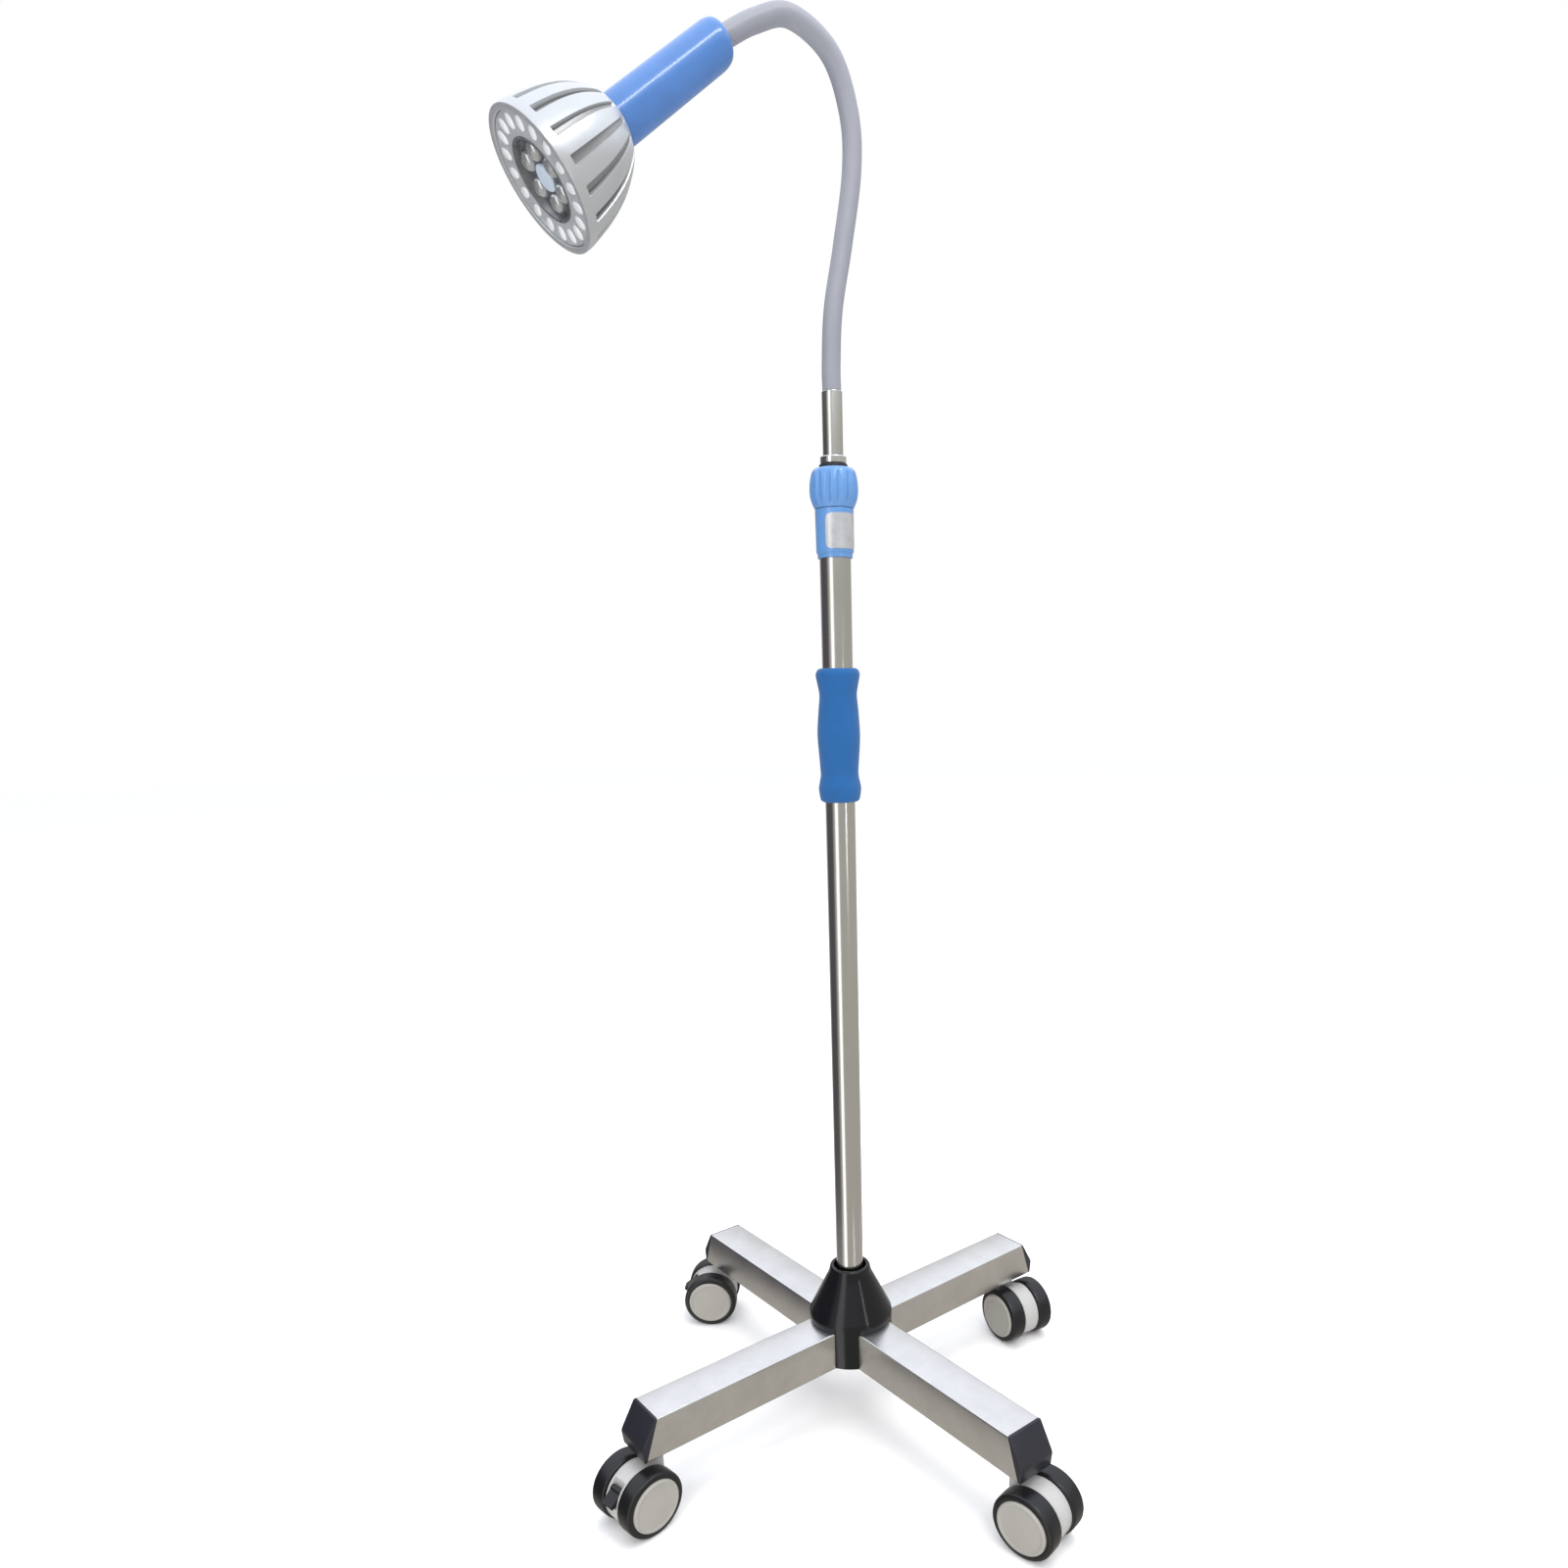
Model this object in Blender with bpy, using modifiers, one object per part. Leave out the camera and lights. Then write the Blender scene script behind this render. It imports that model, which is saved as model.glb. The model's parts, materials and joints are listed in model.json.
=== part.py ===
"""Mobile examination lamp: a four-legged base on twin-wheel castors, a telescopic pole with a
twist-lock collar, a friction gooseneck and a finned LED reflector lamp in a round handle.

Metres, +Z up. The origin is on the floor, in the middle of the lamp's bounding box.
"""

import math

import bmesh
import bpy
from mathutils import Matrix, Vector

# ---------------------------------------------------------------- driving dimensions
POLE_X, POLE_Y = 0.0161, 0.0014  # the pole's axis, off centre by the castors' stored directions

GAP = 0.0003  # running gap between neighbouring solids
FACETS = 20  # sides of a round piece
FINE_FACETS = 32

# base
LEG_REACH = 0.295  # pole axis to the end of a leg's top face
LEG_SIDE = 0.050  # square tube
LEG_WALL = 0.002
LEG_SLANT = 0.0165  # how much further out the bottom edge ends
LEG_TOP = 0.1354
LEG_BOTTOM = LEG_TOP - LEG_SIDE
CAP_PLATE = 0.0020  # an end cap's thickness at its top and bottom edges
CAP_RIDGE = 0.0105  # how far its horizontal ridge stands out from the leg's end
CAP_RIDGE_DROP = 0.032  # the ridge's depth below the leg's top
CAP_PLUG = 0.006
CONE_TOP = 0.206
CONE_TOP_RADIUS = 0.0248
CONE_RADIUS = 0.0525
CONE_WALL = 0.003
PRONG_BOTTOM = LEG_BOTTOM + 0.0015
SPIGOT_HEIGHT = 0.060
BOLT_RADIUS = 0.005

# pole
POLE_RADIUS = 0.0167
POLE_BORE = 0.0151
POLE_TOP = 1.101
TUBE_RADIUS = 0.01065
TUBE_BORE = 0.00915
TUBE_BOTTOM = 0.560
TUBE_TOP = 1.2027
GRIP_BOTTOM, GRIP_TOP = 0.7853, 0.9295
COLLAR_BOTTOM, NUT_BOTTOM, NUT_TOP = 1.0419, 1.0906, 1.1296
NUT_RADIUS = 0.0258
NUT_FLUTES = 14
INLET_HEIGHT = 0.250
INLET_RADIUS = 0.0055
INLET_AZIMUTH = math.radians(50)

# castors: trail direction of each one, seen from above
CASTORS = {
    "front_left": (180, 188),
    "front_right": (270, 280),
    "rear_left": (90, 140),
    "rear_right": (0, 262),
}
BRAKED = ("front_left", "rear_left")
STEM_REACH = 0.2894
TRAIL = 0.0263
WHEEL_RADIUS = 0.038
HUB_RADIUS = 0.0306
HUB_OUTER = 0.0373
TYRE_INNER, TYRE_OUTER = 0.0125, 0.0345
STEM_RADIUS = 0.006
PIVOT_RADIUS = 0.005
AXLE_RADIUS = 0.005
HOUSING_HALF = 0.0115
HOUSING_RADIUS = 0.035
HOUSING_TOP = 0.0822
PEDAL_PIVOT = Vector((0.0255, 0.0175))  # from the axle, along the trail and up

# gooseneck: (reach, height above the tube's end) in the vertical plane that holds the head
HEAD_AZIMUTH = math.radians(168.0)
HEAD_TILT = math.radians(38.9)
HEAD_REACH, HEAD_HEIGHT = 0.2828, 1.3427
NECK_RADIUS = 0.0097
NECK_ROUTE = (
    (0.0, 0.0),
    (0.0, 0.027),
    (-0.0036, 0.076),
    (-0.0155, 0.134),
    (-0.0270, 0.200),
    (-0.0250, 0.249),
    (-0.0052, 0.2945),
    (0.0360, 0.3155),
    (0.0720, 0.3040),
)
NECK_JOINTS = (0.060, 0.130, 0.200, 0.270, 0.345)  # arc length of each joint's centre
NECK_IN_HANDLE = 0.022
DOME_RADIUS = 0.0095
CUP_RADIUS = 0.0102
CUP_SETBACK = 0.0065

# head: distances behind the lamp's face
FACE_RADIUS = 0.061
BELL_LENGTH = 0.089
HANDLE_FRONT, HANDLE_BACK = 0.0898, 0.228
HANDLE_FRONT_RADIUS, HANDLE_BACK_RADIUS = 0.0222, 0.0208
HANDLE_WALL = 0.0022
HOLDER_RADIUS = 0.0178
FIN_COUNT = 16
FIN_DEPTH = 0.005
GROOVE_WIDTH = 0.0045
RECESS_RADIUS = 0.030
CAP_RADIUS = 0.0132
CAP_LENGTH = 0.024

# ---------------------------------------------------------------- scene and helpers
for old in list(bpy.data.objects):
    bpy.data.objects.remove(old)

parts = bpy.data.collections.new("examination_lamp")
cutters = bpy.data.collections.new("cutters")
for collection in (parts, cutters):
    bpy.context.scene.collection.children.link(collection)
cutters.hide_render = True


def make_material(name, colour, roughness, metallic=0.0):
    made = bpy.data.materials.new(name)
    made.use_nodes = True
    shader = made.node_tree.nodes["Principled BSDF"]
    shader.inputs["Base Color"].default_value = (*colour, 1.0)
    shader.inputs["Roughness"].default_value = roughness
    shader.inputs["Metallic"].default_value = metallic
    return made


STEEL = make_material("brushed_stainless", (0.62, 0.60, 0.57), 0.30, 1.0)
BRIGHT = make_material("bright_steel", (0.80, 0.80, 0.80), 0.15, 1.0)
BLACK = make_material("black_plastic", (0.015, 0.016, 0.020), 0.25)
RUBBER = make_material("black_rubber", (0.02, 0.02, 0.02), 0.65)
PALE_BLUE = make_material("pale_blue_plastic", (0.12, 0.32, 0.72), 0.25)
DEEP_BLUE = make_material("deep_blue_foam", (0.02, 0.17, 0.52), 0.75)
GREY_PVC = make_material("grey_pvc", (0.34, 0.35, 0.40), 0.45)
HUB_GREY = make_material("hub_grey", (0.42, 0.39, 0.35), 0.45)
WHITE = make_material("white_plastic", (0.80, 0.80, 0.80), 0.35)
SILVER_PAINT = make_material("silver_paint", (0.75, 0.77, 0.78), 0.30, 0.6)
CLEAR = make_material("clear_lens", (0.85, 0.88, 0.90), 0.08)
BRASS = make_material("brass", (0.75, 0.55, 0.22), 0.30, 1.0)


def place(shape, location=(0, 0, 0), rotation=(0, 0, 0), parent=None):
    shape.location = location
    shape.rotation_euler = rotation
    shape.parent = parent
    return shape


def new_object(name, mesh, material=None):
    """An object in the parts collection, or a hidden cutter when it has no material."""
    made = bpy.data.objects.new(name, mesh)
    if material is None:
        cutters.objects.link(made)
        made.hide_render = True
        made.display_type = "WIRE"
    else:
        parts.objects.link(made)
        mesh.materials.append(material)
    return made


def empty(name, location, rotation=(0, 0, 0), parent=None):
    made = bpy.data.objects.new(name, None)
    parts.objects.link(made)
    return place(made, location, rotation, parent)


def turned(name, profile, material=None, ring=False, facets=FACETS):
    """A profile of (radius, height) turned about Z. Its outer side runs from top to bottom."""
    mesh = bpy.data.meshes.new(name)
    points = [(radius, 0.0, height) for radius, height in profile]
    edges = [(i, i + 1) for i in range(len(points) - 1)]
    if ring:
        edges.append((len(points) - 1, 0))
    mesh.from_pydata(points, edges, [])
    made = new_object(name, mesh, material)
    screw = made.modifiers.new("turn", "SCREW")
    screw.axis = "Z"
    screw.steps = facets
    screw.render_steps = facets
    screw.use_merge_vertices = True
    screw.merge_threshold = 0.00005
    screw.use_smooth_shade = False
    return made


def tube_profile(outer, inner, bottom, top):
    return [(outer, top), (outer, bottom), (inner, bottom), (inner, top)]


def rod_profile(radius, bottom, top):
    return [(0.0, top), (radius, top), (radius, bottom), (0.0, bottom)]


def box(name, low, high, material=None):
    mesh = bpy.data.meshes.new(name)
    shape = bmesh.new()
    bmesh.ops.create_cube(shape, size=1.0)
    size = Vector(high) - Vector(low)
    middle = (Vector(high) + Vector(low)) / 2
    bmesh.ops.scale(shape, vec=size, verts=shape.verts)
    bmesh.ops.translate(shape, vec=middle, verts=shape.verts)
    shape.to_mesh(mesh)
    shape.free()
    return new_object(name, mesh, material)


def shear_ends(shape, limit):
    """Slants the end beyond X = limit: the further down a corner is, the further out it moves."""
    for corner in shape.data.vertices:
        if corner.co.x > limit:
            corner.co.x += LEG_SLANT * (LEG_TOP - corner.co.z) / LEG_SIDE


def wedge(name, outline, half, material):
    """A prism with the outline of (x, height) points, from -half to half along Y."""
    mesh = bpy.data.meshes.new(name)
    shape = bmesh.new()
    near = [shape.verts.new((x, -half, height)) for x, height in outline]
    far = [shape.verts.new((x, half, height)) for x, height in outline]
    shape.faces.new(near)
    shape.faces.new(far[::-1])
    for index in range(len(outline)):
        after = (index + 1) % len(outline)
        shape.faces.new((near[after], near[index], far[index], far[after]))
    bmesh.ops.recalc_face_normals(shape, faces=shape.faces)
    shape.to_mesh(mesh)
    shape.free()
    return new_object(name, mesh, material)


def boolean(shape, other, operation="DIFFERENCE"):
    step = shape.modifiers.new(operation.lower(), "BOOLEAN")
    step.operation = operation
    step.object = other
    step.solver = "EXACT"
    return shape


def bevel(shape, width, segments=2, angle=40):
    step = shape.modifiers.new("bevel", "BEVEL")
    step.width = width
    step.segments = segments
    step.limit_method = "ANGLE"
    step.angle_limit = math.radians(angle)
    return shape


def cross_axle(radius, half_length, name, material=None, facets=FACETS):
    """A rod along Y, centred on its object's origin, with a flat side facing down."""
    made = turned(name, rod_profile(radius, -half_length, half_length), material, facets=facets)
    made.rotation_euler = (math.pi / 2, math.pi / facets, 0)
    return made


frame = empty("lamp_frame", (POLE_X, POLE_Y, 0))


# ---------------------------------------------------------------- base
def make_leg(position, azimuth):
    """A hollow square leg along local +X, with a slanted end and a hole for its castor's stem."""
    half = LEG_SIDE / 2
    turn = (0, 0, math.radians(azimuth))
    leg = box(f"leg_{position}", (half + GAP, -half, LEG_BOTTOM), (LEG_REACH, half, LEG_TOP), STEEL)
    shear_ends(leg, LEG_REACH / 2)
    place(leg, rotation=turn, parent=frame)
    inside = half - LEG_WALL
    hollow = box(
        f"leg_hollow_{position}",
        (half - 0.01, -inside, LEG_BOTTOM + LEG_WALL),
        (LEG_REACH + 0.05, inside, LEG_TOP - LEG_WALL),
    )
    place(hollow, rotation=turn, parent=frame)
    boolean(leg, hollow)
    through_wall = rod_profile(STEM_RADIUS + GAP, LEG_BOTTOM - 0.01, LEG_BOTTOM + 0.01)
    hole = turned(f"stem_hole_{position}", through_wall)
    reach = Matrix.Rotation(turn[2], 3, "Z") @ Vector((STEM_REACH, 0, 0))
    place(hole, reach, parent=frame)
    boolean(leg, hole)


def make_end_cap(position, azimuth):
    """A wedge over a leg's slanted open end, with a plug that grips inside the tube."""
    half = LEG_SIDE / 2
    turn = (0, 0, math.radians(azimuth))
    start = LEG_REACH + GAP
    outline = (
        (start, LEG_BOTTOM),
        (start + CAP_PLATE, LEG_BOTTOM),
        (start + CAP_RIDGE, LEG_TOP - CAP_RIDGE_DROP),
        (start + CAP_PLATE, LEG_TOP),
        (start, LEG_TOP),
    )
    cap = wedge(f"end_cap_{position}", outline, half, BLACK)
    shear_ends(cap, 0)
    place(cap, rotation=turn, parent=frame)
    bevel(cap, 0.001)
    inside = half - LEG_WALL - GAP
    plug = box(
        f"cap_plug_{position}",
        (start - CAP_PLUG, -inside, LEG_BOTTOM + LEG_WALL + GAP),
        (start + CAP_PLATE / 2, inside, LEG_TOP - LEG_WALL - GAP),
    )
    shear_ends(plug, 0)
    place(plug, rotation=turn, parent=frame)
    boolean(cap, plug, "UNION")


def make_hub():
    """The block that the four legs are welded to, with a spigot for the pole and a tapped hole."""
    half = LEG_SIDE / 2
    hub = box("hub_block", (-half, -half, LEG_BOTTOM), (half, half, LEG_TOP), STEEL)
    place(hub, parent=frame)
    spigot = turned("hub_spigot", rod_profile(POLE_BORE - GAP, LEG_TOP - 0.01, LEG_TOP + SPIGOT_HEIGHT))
    place(spigot, parent=frame)
    boolean(hub, spigot, "UNION")
    hole = turned("bolt_hole", rod_profile(BOLT_RADIUS + GAP, LEG_BOTTOM - 0.01, LEG_TOP))
    place(hole, parent=frame)
    boolean(hub, hole)
    bolt = turned(
        "base_bolt",
        [
            (0.0, LEG_TOP - 0.005),
            (BOLT_RADIUS, LEG_TOP - 0.006),
            (BOLT_RADIUS, LEG_BOTTOM - GAP),
            (0.0125, LEG_BOTTOM - GAP),
            (0.0125, LEG_BOTTOM - 0.002),
            (0.0085, LEG_BOTTOM - 0.003),
            (0.0085, LEG_BOTTOM - 0.009),
            (0.0, LEG_BOTTOM - 0.009),
        ],
        BRIGHT,
        facets=12,
    )
    place(bolt, parent=frame)


def make_cone_cover():
    """The black shroud round the pole's foot. Its skirt reaches down between the legs as four prongs."""
    top = LEG_TOP + GAP
    bore = POLE_RADIUS + 2 * GAP
    cover = turned(
        "cone_cover",
        [
            (bore, CONE_TOP),
            (CONE_TOP_RADIUS - 0.002, CONE_TOP),
            (CONE_TOP_RADIUS, CONE_TOP - 0.002),
            (CONE_TOP_RADIUS + 0.002, CONE_TOP - 0.010),
            (CONE_RADIUS - 0.003, top + 0.014),
            (CONE_RADIUS, top + 0.008),
            (CONE_RADIUS, PRONG_BOTTOM),
            (bore, PRONG_BOTTOM),
        ],
        BLACK,
        ring=True,
        facets=FINE_FACETS,
    )
    place(cover, parent=frame)
    hollow = turned(
        "cone_hollow",
        [
            (0.0, CONE_TOP - CONE_WALL),
            (CONE_TOP_RADIUS - CONE_WALL, CONE_TOP - CONE_WALL - 0.002),
            (CONE_RADIUS - 2 * CONE_WALL, top + 0.012),
            (CONE_RADIUS - CONE_WALL - 0.001, top),
            (CONE_RADIUS - CONE_WALL - 0.001, top - 0.001),
            (0.0, top - 0.001),
        ],
        facets=FINE_FACETS,
    )
    place(hollow, parent=frame)
    boolean(cover, hollow)
    side = LEG_SIDE / 2 + GAP
    for name, reach_x, reach_y in (("cross_x", 0.1, side), ("cross_y", side, 0.1)):
        slot = box(name, (-reach_x, -reach_y, LEG_BOTTOM - 0.02), (reach_x, reach_y, top))
        place(slot, parent=frame)
        boolean(cover, slot)


# ---------------------------------------------------------------- pole and collar
def make_pole():
    wall = tube_profile(POLE_RADIUS, POLE_BORE, LEG_TOP + GAP, POLE_TOP)
    pole = turned("outer_pole", wall, STEEL, ring=True)
    place(pole, parent=frame)
    around = (math.pi / 2, 0, INLET_AZIMUTH + math.pi / 2)
    hole = turned("inlet_hole", rod_profile(INLET_RADIUS, 0.012, 0.022), facets=12)
    inlet = empty("inlet_axis", (0, 0, INLET_HEIGHT), around, frame)
    place(hole, rotation=(0, 0, 0), parent=inlet)
    boolean(pole, hole)
    grommet = turned(
        "cable_grommet",
        [
            (0.0035, POLE_RADIUS + 0.004),
            (0.0065, POLE_RADIUS + 0.004),
            (0.0085, POLE_RADIUS + 0.002),
            (0.0085, POLE_RADIUS + GAP),
            (INLET_RADIUS - GAP, POLE_RADIUS + GAP),
            (INLET_RADIUS - GAP, POLE_BORE + GAP),
            (0.0035, POLE_BORE + GAP),
        ],
        RUBBER,
        ring=True,
        facets=16,
    )
    place(grommet, parent=inlet)


def make_grip():
    """A foam hand grip, flared at both ends and barrelled between."""
    radii = (
        (0.0, 0.0190),
        (0.004, 0.0222),
        (0.0145, 0.0238),
        (0.022, 0.0226),
        (0.0305, 0.0212),
        (0.045, 0.0220),
        (0.073, 0.0237),
        (0.098, 0.0222),
        (0.1155, 0.0207),
        (0.126, 0.0222),
        (0.137, 0.0242),
        (0.1415, 0.0228),
        (GRIP_TOP - GRIP_BOTTOM, 0.0195),
    )
    outer = [(radius, GRIP_BOTTOM + up) for up, radius in reversed(radii)]
    bore = POLE_RADIUS + GAP
    grip = turned("hand_grip", outer + [(bore, GRIP_BOTTOM), (bore, GRIP_TOP)], DEEP_BLUE, ring=True)
    place(grip, parent=frame)


def make_collar():
    """The sleeve on the pole's top, its collet, the fluted nut that squeezes it and the wiper."""
    pole_bore = POLE_RADIUS + GAP
    tube_bore = TUBE_RADIUS + GAP
    thread = 0.0186
    seat = POLE_TOP + GAP
    sleeve = turned(
        "collar_sleeve",
        [
            (thread, NUT_BOTTOM + 0.027),
            (thread, NUT_BOTTOM),
            (0.0207, NUT_BOTTOM - GAP),
            (0.0200, COLLAR_BOTTOM + 0.005),
            (0.0187, COLLAR_BOTTOM + 0.0045),
            (0.0187, COLLAR_BOTTOM),
            (pole_bore, COLLAR_BOTTOM),
            (pole_bore, seat),
            (0.0135, seat),
            (0.0135, seat + 0.008),
            (0.0165, NUT_BOTTOM + 0.027),
        ],
        PALE_BLUE,
        ring=True,
    )
    place(sleeve, parent=frame)
    collet = turned(
        "tube_collet",
        [
            (0.0150, NUT_BOTTOM + 0.0305),
            (0.0158, NUT_BOTTOM + 0.0275),
            (0.0130, seat + 0.008),
            (0.0130, seat + 0.001),
            (tube_bore, seat + 0.001),
            (tube_bore, NUT_BOTTOM + 0.0305),
        ],
        WHITE,
        ring=True,
    )
    place(collet, parent=frame)
    for index in range(3):
        slit = box(f"collet_slit_{index}", (0.0, -0.0006, seat + 0.006), (0.02, 0.0006, NUT_TOP))
        place(slit, rotation=(0, 0, index * math.tau / 3), parent=frame)
        boolean(collet, slit)
    nut = turned(
        "twist_nut",
        [
            (0.0205, NUT_TOP),
            (0.0228, NUT_TOP - 0.003),
            (NUT_RADIUS, NUT_TOP - 0.017),
            (NUT_RADIUS, NUT_TOP - 0.027),
            (0.0230, NUT_BOTTOM + 0.006),
            (0.0212, NUT_BOTTOM + GAP),
            (thread + 2 * GAP, NUT_BOTTOM + GAP),
            (thread + 2 * GAP, NUT_BOTTOM + 0.032),
            (tube_bore + GAP, NUT_BOTTOM + 0.033),
            (tube_bore + GAP, NUT_TOP),
        ],
        PALE_BLUE,
        ring=True,
        facets=2 * NUT_FLUTES,
    )
    place(nut, parent=frame)
    for index in range(NUT_FLUTES):
        flute = turned(f"flute_{index}", rod_profile(0.0018, NUT_BOTTOM + 0.004, NUT_TOP + 0.001), facets=6)
        angle = (index + 0.5) * math.tau / NUT_FLUTES
        reach = NUT_RADIUS + 0.0002
        place(flute, (reach * math.cos(angle), reach * math.sin(angle), 0), (0, 0, angle), frame)
        boolean(nut, flute)
    lip = tube_profile(0.0150, tube_bore, NUT_TOP + GAP, NUT_TOP + 0.0042)
    wiper = turned("wiper_ring", lip, RUBBER, ring=True)
    place(wiper, parent=frame)


def make_inner_tube():
    bottom = NUT_TOP + 0.0047
    bush = turned(
        "guide_bush",
        tube_profile(POLE_BORE - GAP, TUBE_RADIUS + GAP, TUBE_BOTTOM, TUBE_BOTTOM + 0.040),
        WHITE,
        ring=True,
    )
    tube = turned("inner_tube", tube_profile(TUBE_RADIUS, TUBE_BORE, TUBE_BOTTOM, TUBE_TOP), STEEL, ring=True)
    stop = turned(
        "stop_ring",
        [
            (0.0132, bottom + 0.0070),
            (0.0137, bottom + 0.0060),
            (0.0137, bottom + 0.0010),
            (0.0132, bottom),
            (TUBE_RADIUS + GAP, bottom),
            (TUBE_RADIUS + GAP, bottom + 0.0070),
        ],
        BRIGHT,
        ring=True,
    )
    for piece in (bush, tube, stop):
        place(piece, parent=frame)


# ---------------------------------------------------------------- castors
def make_wheel(name, side, centre, parent):
    """One wheel of a twin castor: a closed hub disc with a blind bore and its tyre."""
    turn = (-side * math.pi / 2, 0, 0)
    bore = AXLE_RADIUS + GAP
    hub = turned(
        f"hub_{name}",
        [
            (0.0, HUB_OUTER),
            (HUB_RADIUS * 0.8, HUB_OUTER),
            (HUB_RADIUS, HUB_OUTER - 0.0015),
            (HUB_RADIUS, TYRE_INNER + 0.001),
            (0.024, TYRE_INNER),
            (bore, TYRE_INNER - 0.0003),
            (bore, HUB_OUTER - 0.004),
            (0.0, HUB_OUTER - 0.004),
        ],
        HUB_GREY,
    )
    round_up = 1 / math.cos(math.pi / FACETS)
    outer = WHEEL_RADIUS * round_up
    inner = (HUB_RADIUS + GAP) * round_up
    tyre = turned(
        f"tyre_{name}",
        [
            (inner, TYRE_OUTER),
            (outer - 0.003, TYRE_OUTER),
            (outer, TYRE_OUTER - 0.004),
            (outer, TYRE_INNER + 0.004),
            (outer - 0.003, TYRE_INNER),
            (inner, TYRE_INNER),
        ],
        RUBBER,
        ring=True,
    )
    # half a facet's turn lays one flat of the tread on the floor
    for piece in (hub, tyre):
        place(piece, centre, turn, parent)
        piece.data.transform(Matrix.Rotation(math.pi / 2 + math.pi / FACETS, 4, "Z"))


def make_housing(position, parent):
    """The fork body between a castor's wheels, which carries the axle and turns on the stem."""
    centre = (TRAIL, 0, WHEEL_RADIUS)
    housing = cross_axle(HOUSING_RADIUS, HOUSING_HALF, f"castor_housing_{position}", WHITE)
    place(housing, centre, housing.rotation_euler, parent)
    boss = turned(
        f"boss_{position}",
        [
            (0.0, HOUSING_TOP),
            (0.0115, HOUSING_TOP),
            (0.0125, HOUSING_TOP - 0.002),
            (0.0098, HOUSING_TOP - 0.006),
            (0.0098, 0.047),
            (0.0, 0.047),
        ],
    )
    place(boss, parent=parent)
    boolean(housing, boss, "UNION")
    axle = cross_axle(AXLE_RADIUS, HUB_OUTER - 0.005, f"axle_{position}", facets=12)
    place(axle, centre, axle.rotation_euler, parent)
    boolean(housing, axle, "UNION")
    bore = rod_profile(PIVOT_RADIUS + GAP, 0.052, HOUSING_TOP + 0.01)
    socket = turned(f"pivot_socket_{position}", bore, facets=16)
    place(socket, parent=parent)
    boolean(housing, socket)
    return housing


def make_stem(position, parent):
    """The stem screwed into the leg: a shank with its nut inside the tube, a flange and a pivot pin."""
    stem = turned(
        f"castor_stem_{position}",
        [
            (0.0, LEG_BOTTOM + 0.020),
            (STEM_RADIUS, LEG_BOTTOM + 0.019),
            (STEM_RADIUS, LEG_BOTTOM + 0.010),
            (0.0088, LEG_BOTTOM + 0.010),
            (0.0088, LEG_BOTTOM + LEG_WALL + GAP),
            (STEM_RADIUS, LEG_BOTTOM + LEG_WALL + GAP),
            (STEM_RADIUS, LEG_BOTTOM - GAP),
            (0.0130, LEG_BOTTOM - GAP),
            (0.0130, HOUSING_TOP + GAP),
            (PIVOT_RADIUS, HOUSING_TOP + GAP),
            (PIVOT_RADIUS, 0.0535),
            (0.0, 0.0535),
        ],
        BRIGHT,
        facets=12,
    )
    place(stem, parent=parent)


def make_pedal(position, housing, parent):
    """A foot brake at the trailing side: a wide lever on its own pin, in a slot of the housing."""
    pivot = (TRAIL + PEDAL_PIVOT.x, 0, WHEEL_RADIUS + PEDAL_PIVOT.y)
    slot_half = 0.0092
    pin = 0.0018
    slot = box(f"pedal_slot_{position}", (-0.0050, -slot_half, -0.0150), (0.0250, slot_half, 0.0150))
    place(slot, pivot, parent=parent)
    boolean(housing, slot)
    hole = cross_axle(pin + GAP, HOUSING_HALF + 0.001, f"pedal_pin_hole_{position}", facets=12)
    place(hole, pivot, hole.rotation_euler, parent)
    boolean(housing, hole)
    arm_half = slot_half - 0.0005
    pedal = cross_axle(0.0038, arm_half, f"brake_pedal_{position}", BLACK, facets=12)
    place(pedal, pivot, pedal.rotation_euler, parent)
    shaft = cross_axle(pin, HOUSING_HALF - 0.0005, f"pedal_shaft_{position}", facets=12)
    place(shaft, pivot, shaft.rotation_euler, parent)
    boolean(pedal, shaft, "UNION")
    arm = box(f"pedal_arm_{position}", (0.0, -arm_half + 0.0003, -0.0022), (0.0190, arm_half - 0.0003, 0.0022))
    place(arm, pivot, (0, math.radians(37), 0), parent)
    boolean(pedal, arm, "UNION")


def make_castor(position, azimuth, trail_azimuth):
    reach = Matrix.Rotation(math.radians(azimuth), 3, "Z") @ Vector((STEM_REACH, 0, 0))
    swivel = empty(f"castor_axis_{position}", reach, (0, 0, math.radians(trail_azimuth)), frame)
    make_stem(position, swivel)
    housing = make_housing(position, swivel)
    if position in BRAKED:
        make_pedal(position, housing, swivel)
    for number, side in ((1, -1), (2, 1)):
        make_wheel(f"{position}_{number}", side, (TRAIL, 0, WHEEL_RADIUS), swivel)


# ---------------------------------------------------------------- gooseneck
def through(points, steps=24):
    """A smooth curve through the points, as closely spaced points (Catmull-Rom)."""
    padded = [points[0] * 2 - points[1], *points, points[-1] * 2 - points[-2]]
    smooth = []
    for a, b, c, d in zip(padded, padded[1:], padded[2:], padded[3:]):
        for step in range(steps):
            t = step / steps
            linear = (c - a) * t
            square = (2 * a - 5 * b + 4 * c - d) * t**2
            cubic = (3 * b - a - 3 * c + d) * t**3
            smooth.append((2 * b + linear + square + cubic) / 2)
    return smooth + [points[-1]]


def neck_route():
    """The gooseneck's centreline in the head's plane, from the tube's end into the handle."""
    points = [Vector((reach, 0, TUBE_TOP + up)) for reach, up in NECK_ROUTE]
    face = Vector((HEAD_REACH, 0, HEAD_HEIGHT))
    forward = Vector((math.cos(HEAD_TILT), 0, -math.sin(HEAD_TILT)))
    points.append(face - forward * HANDLE_BACK)
    points.append(face - forward * (HANDLE_BACK - NECK_IN_HANDLE))
    return through(points)


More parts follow.
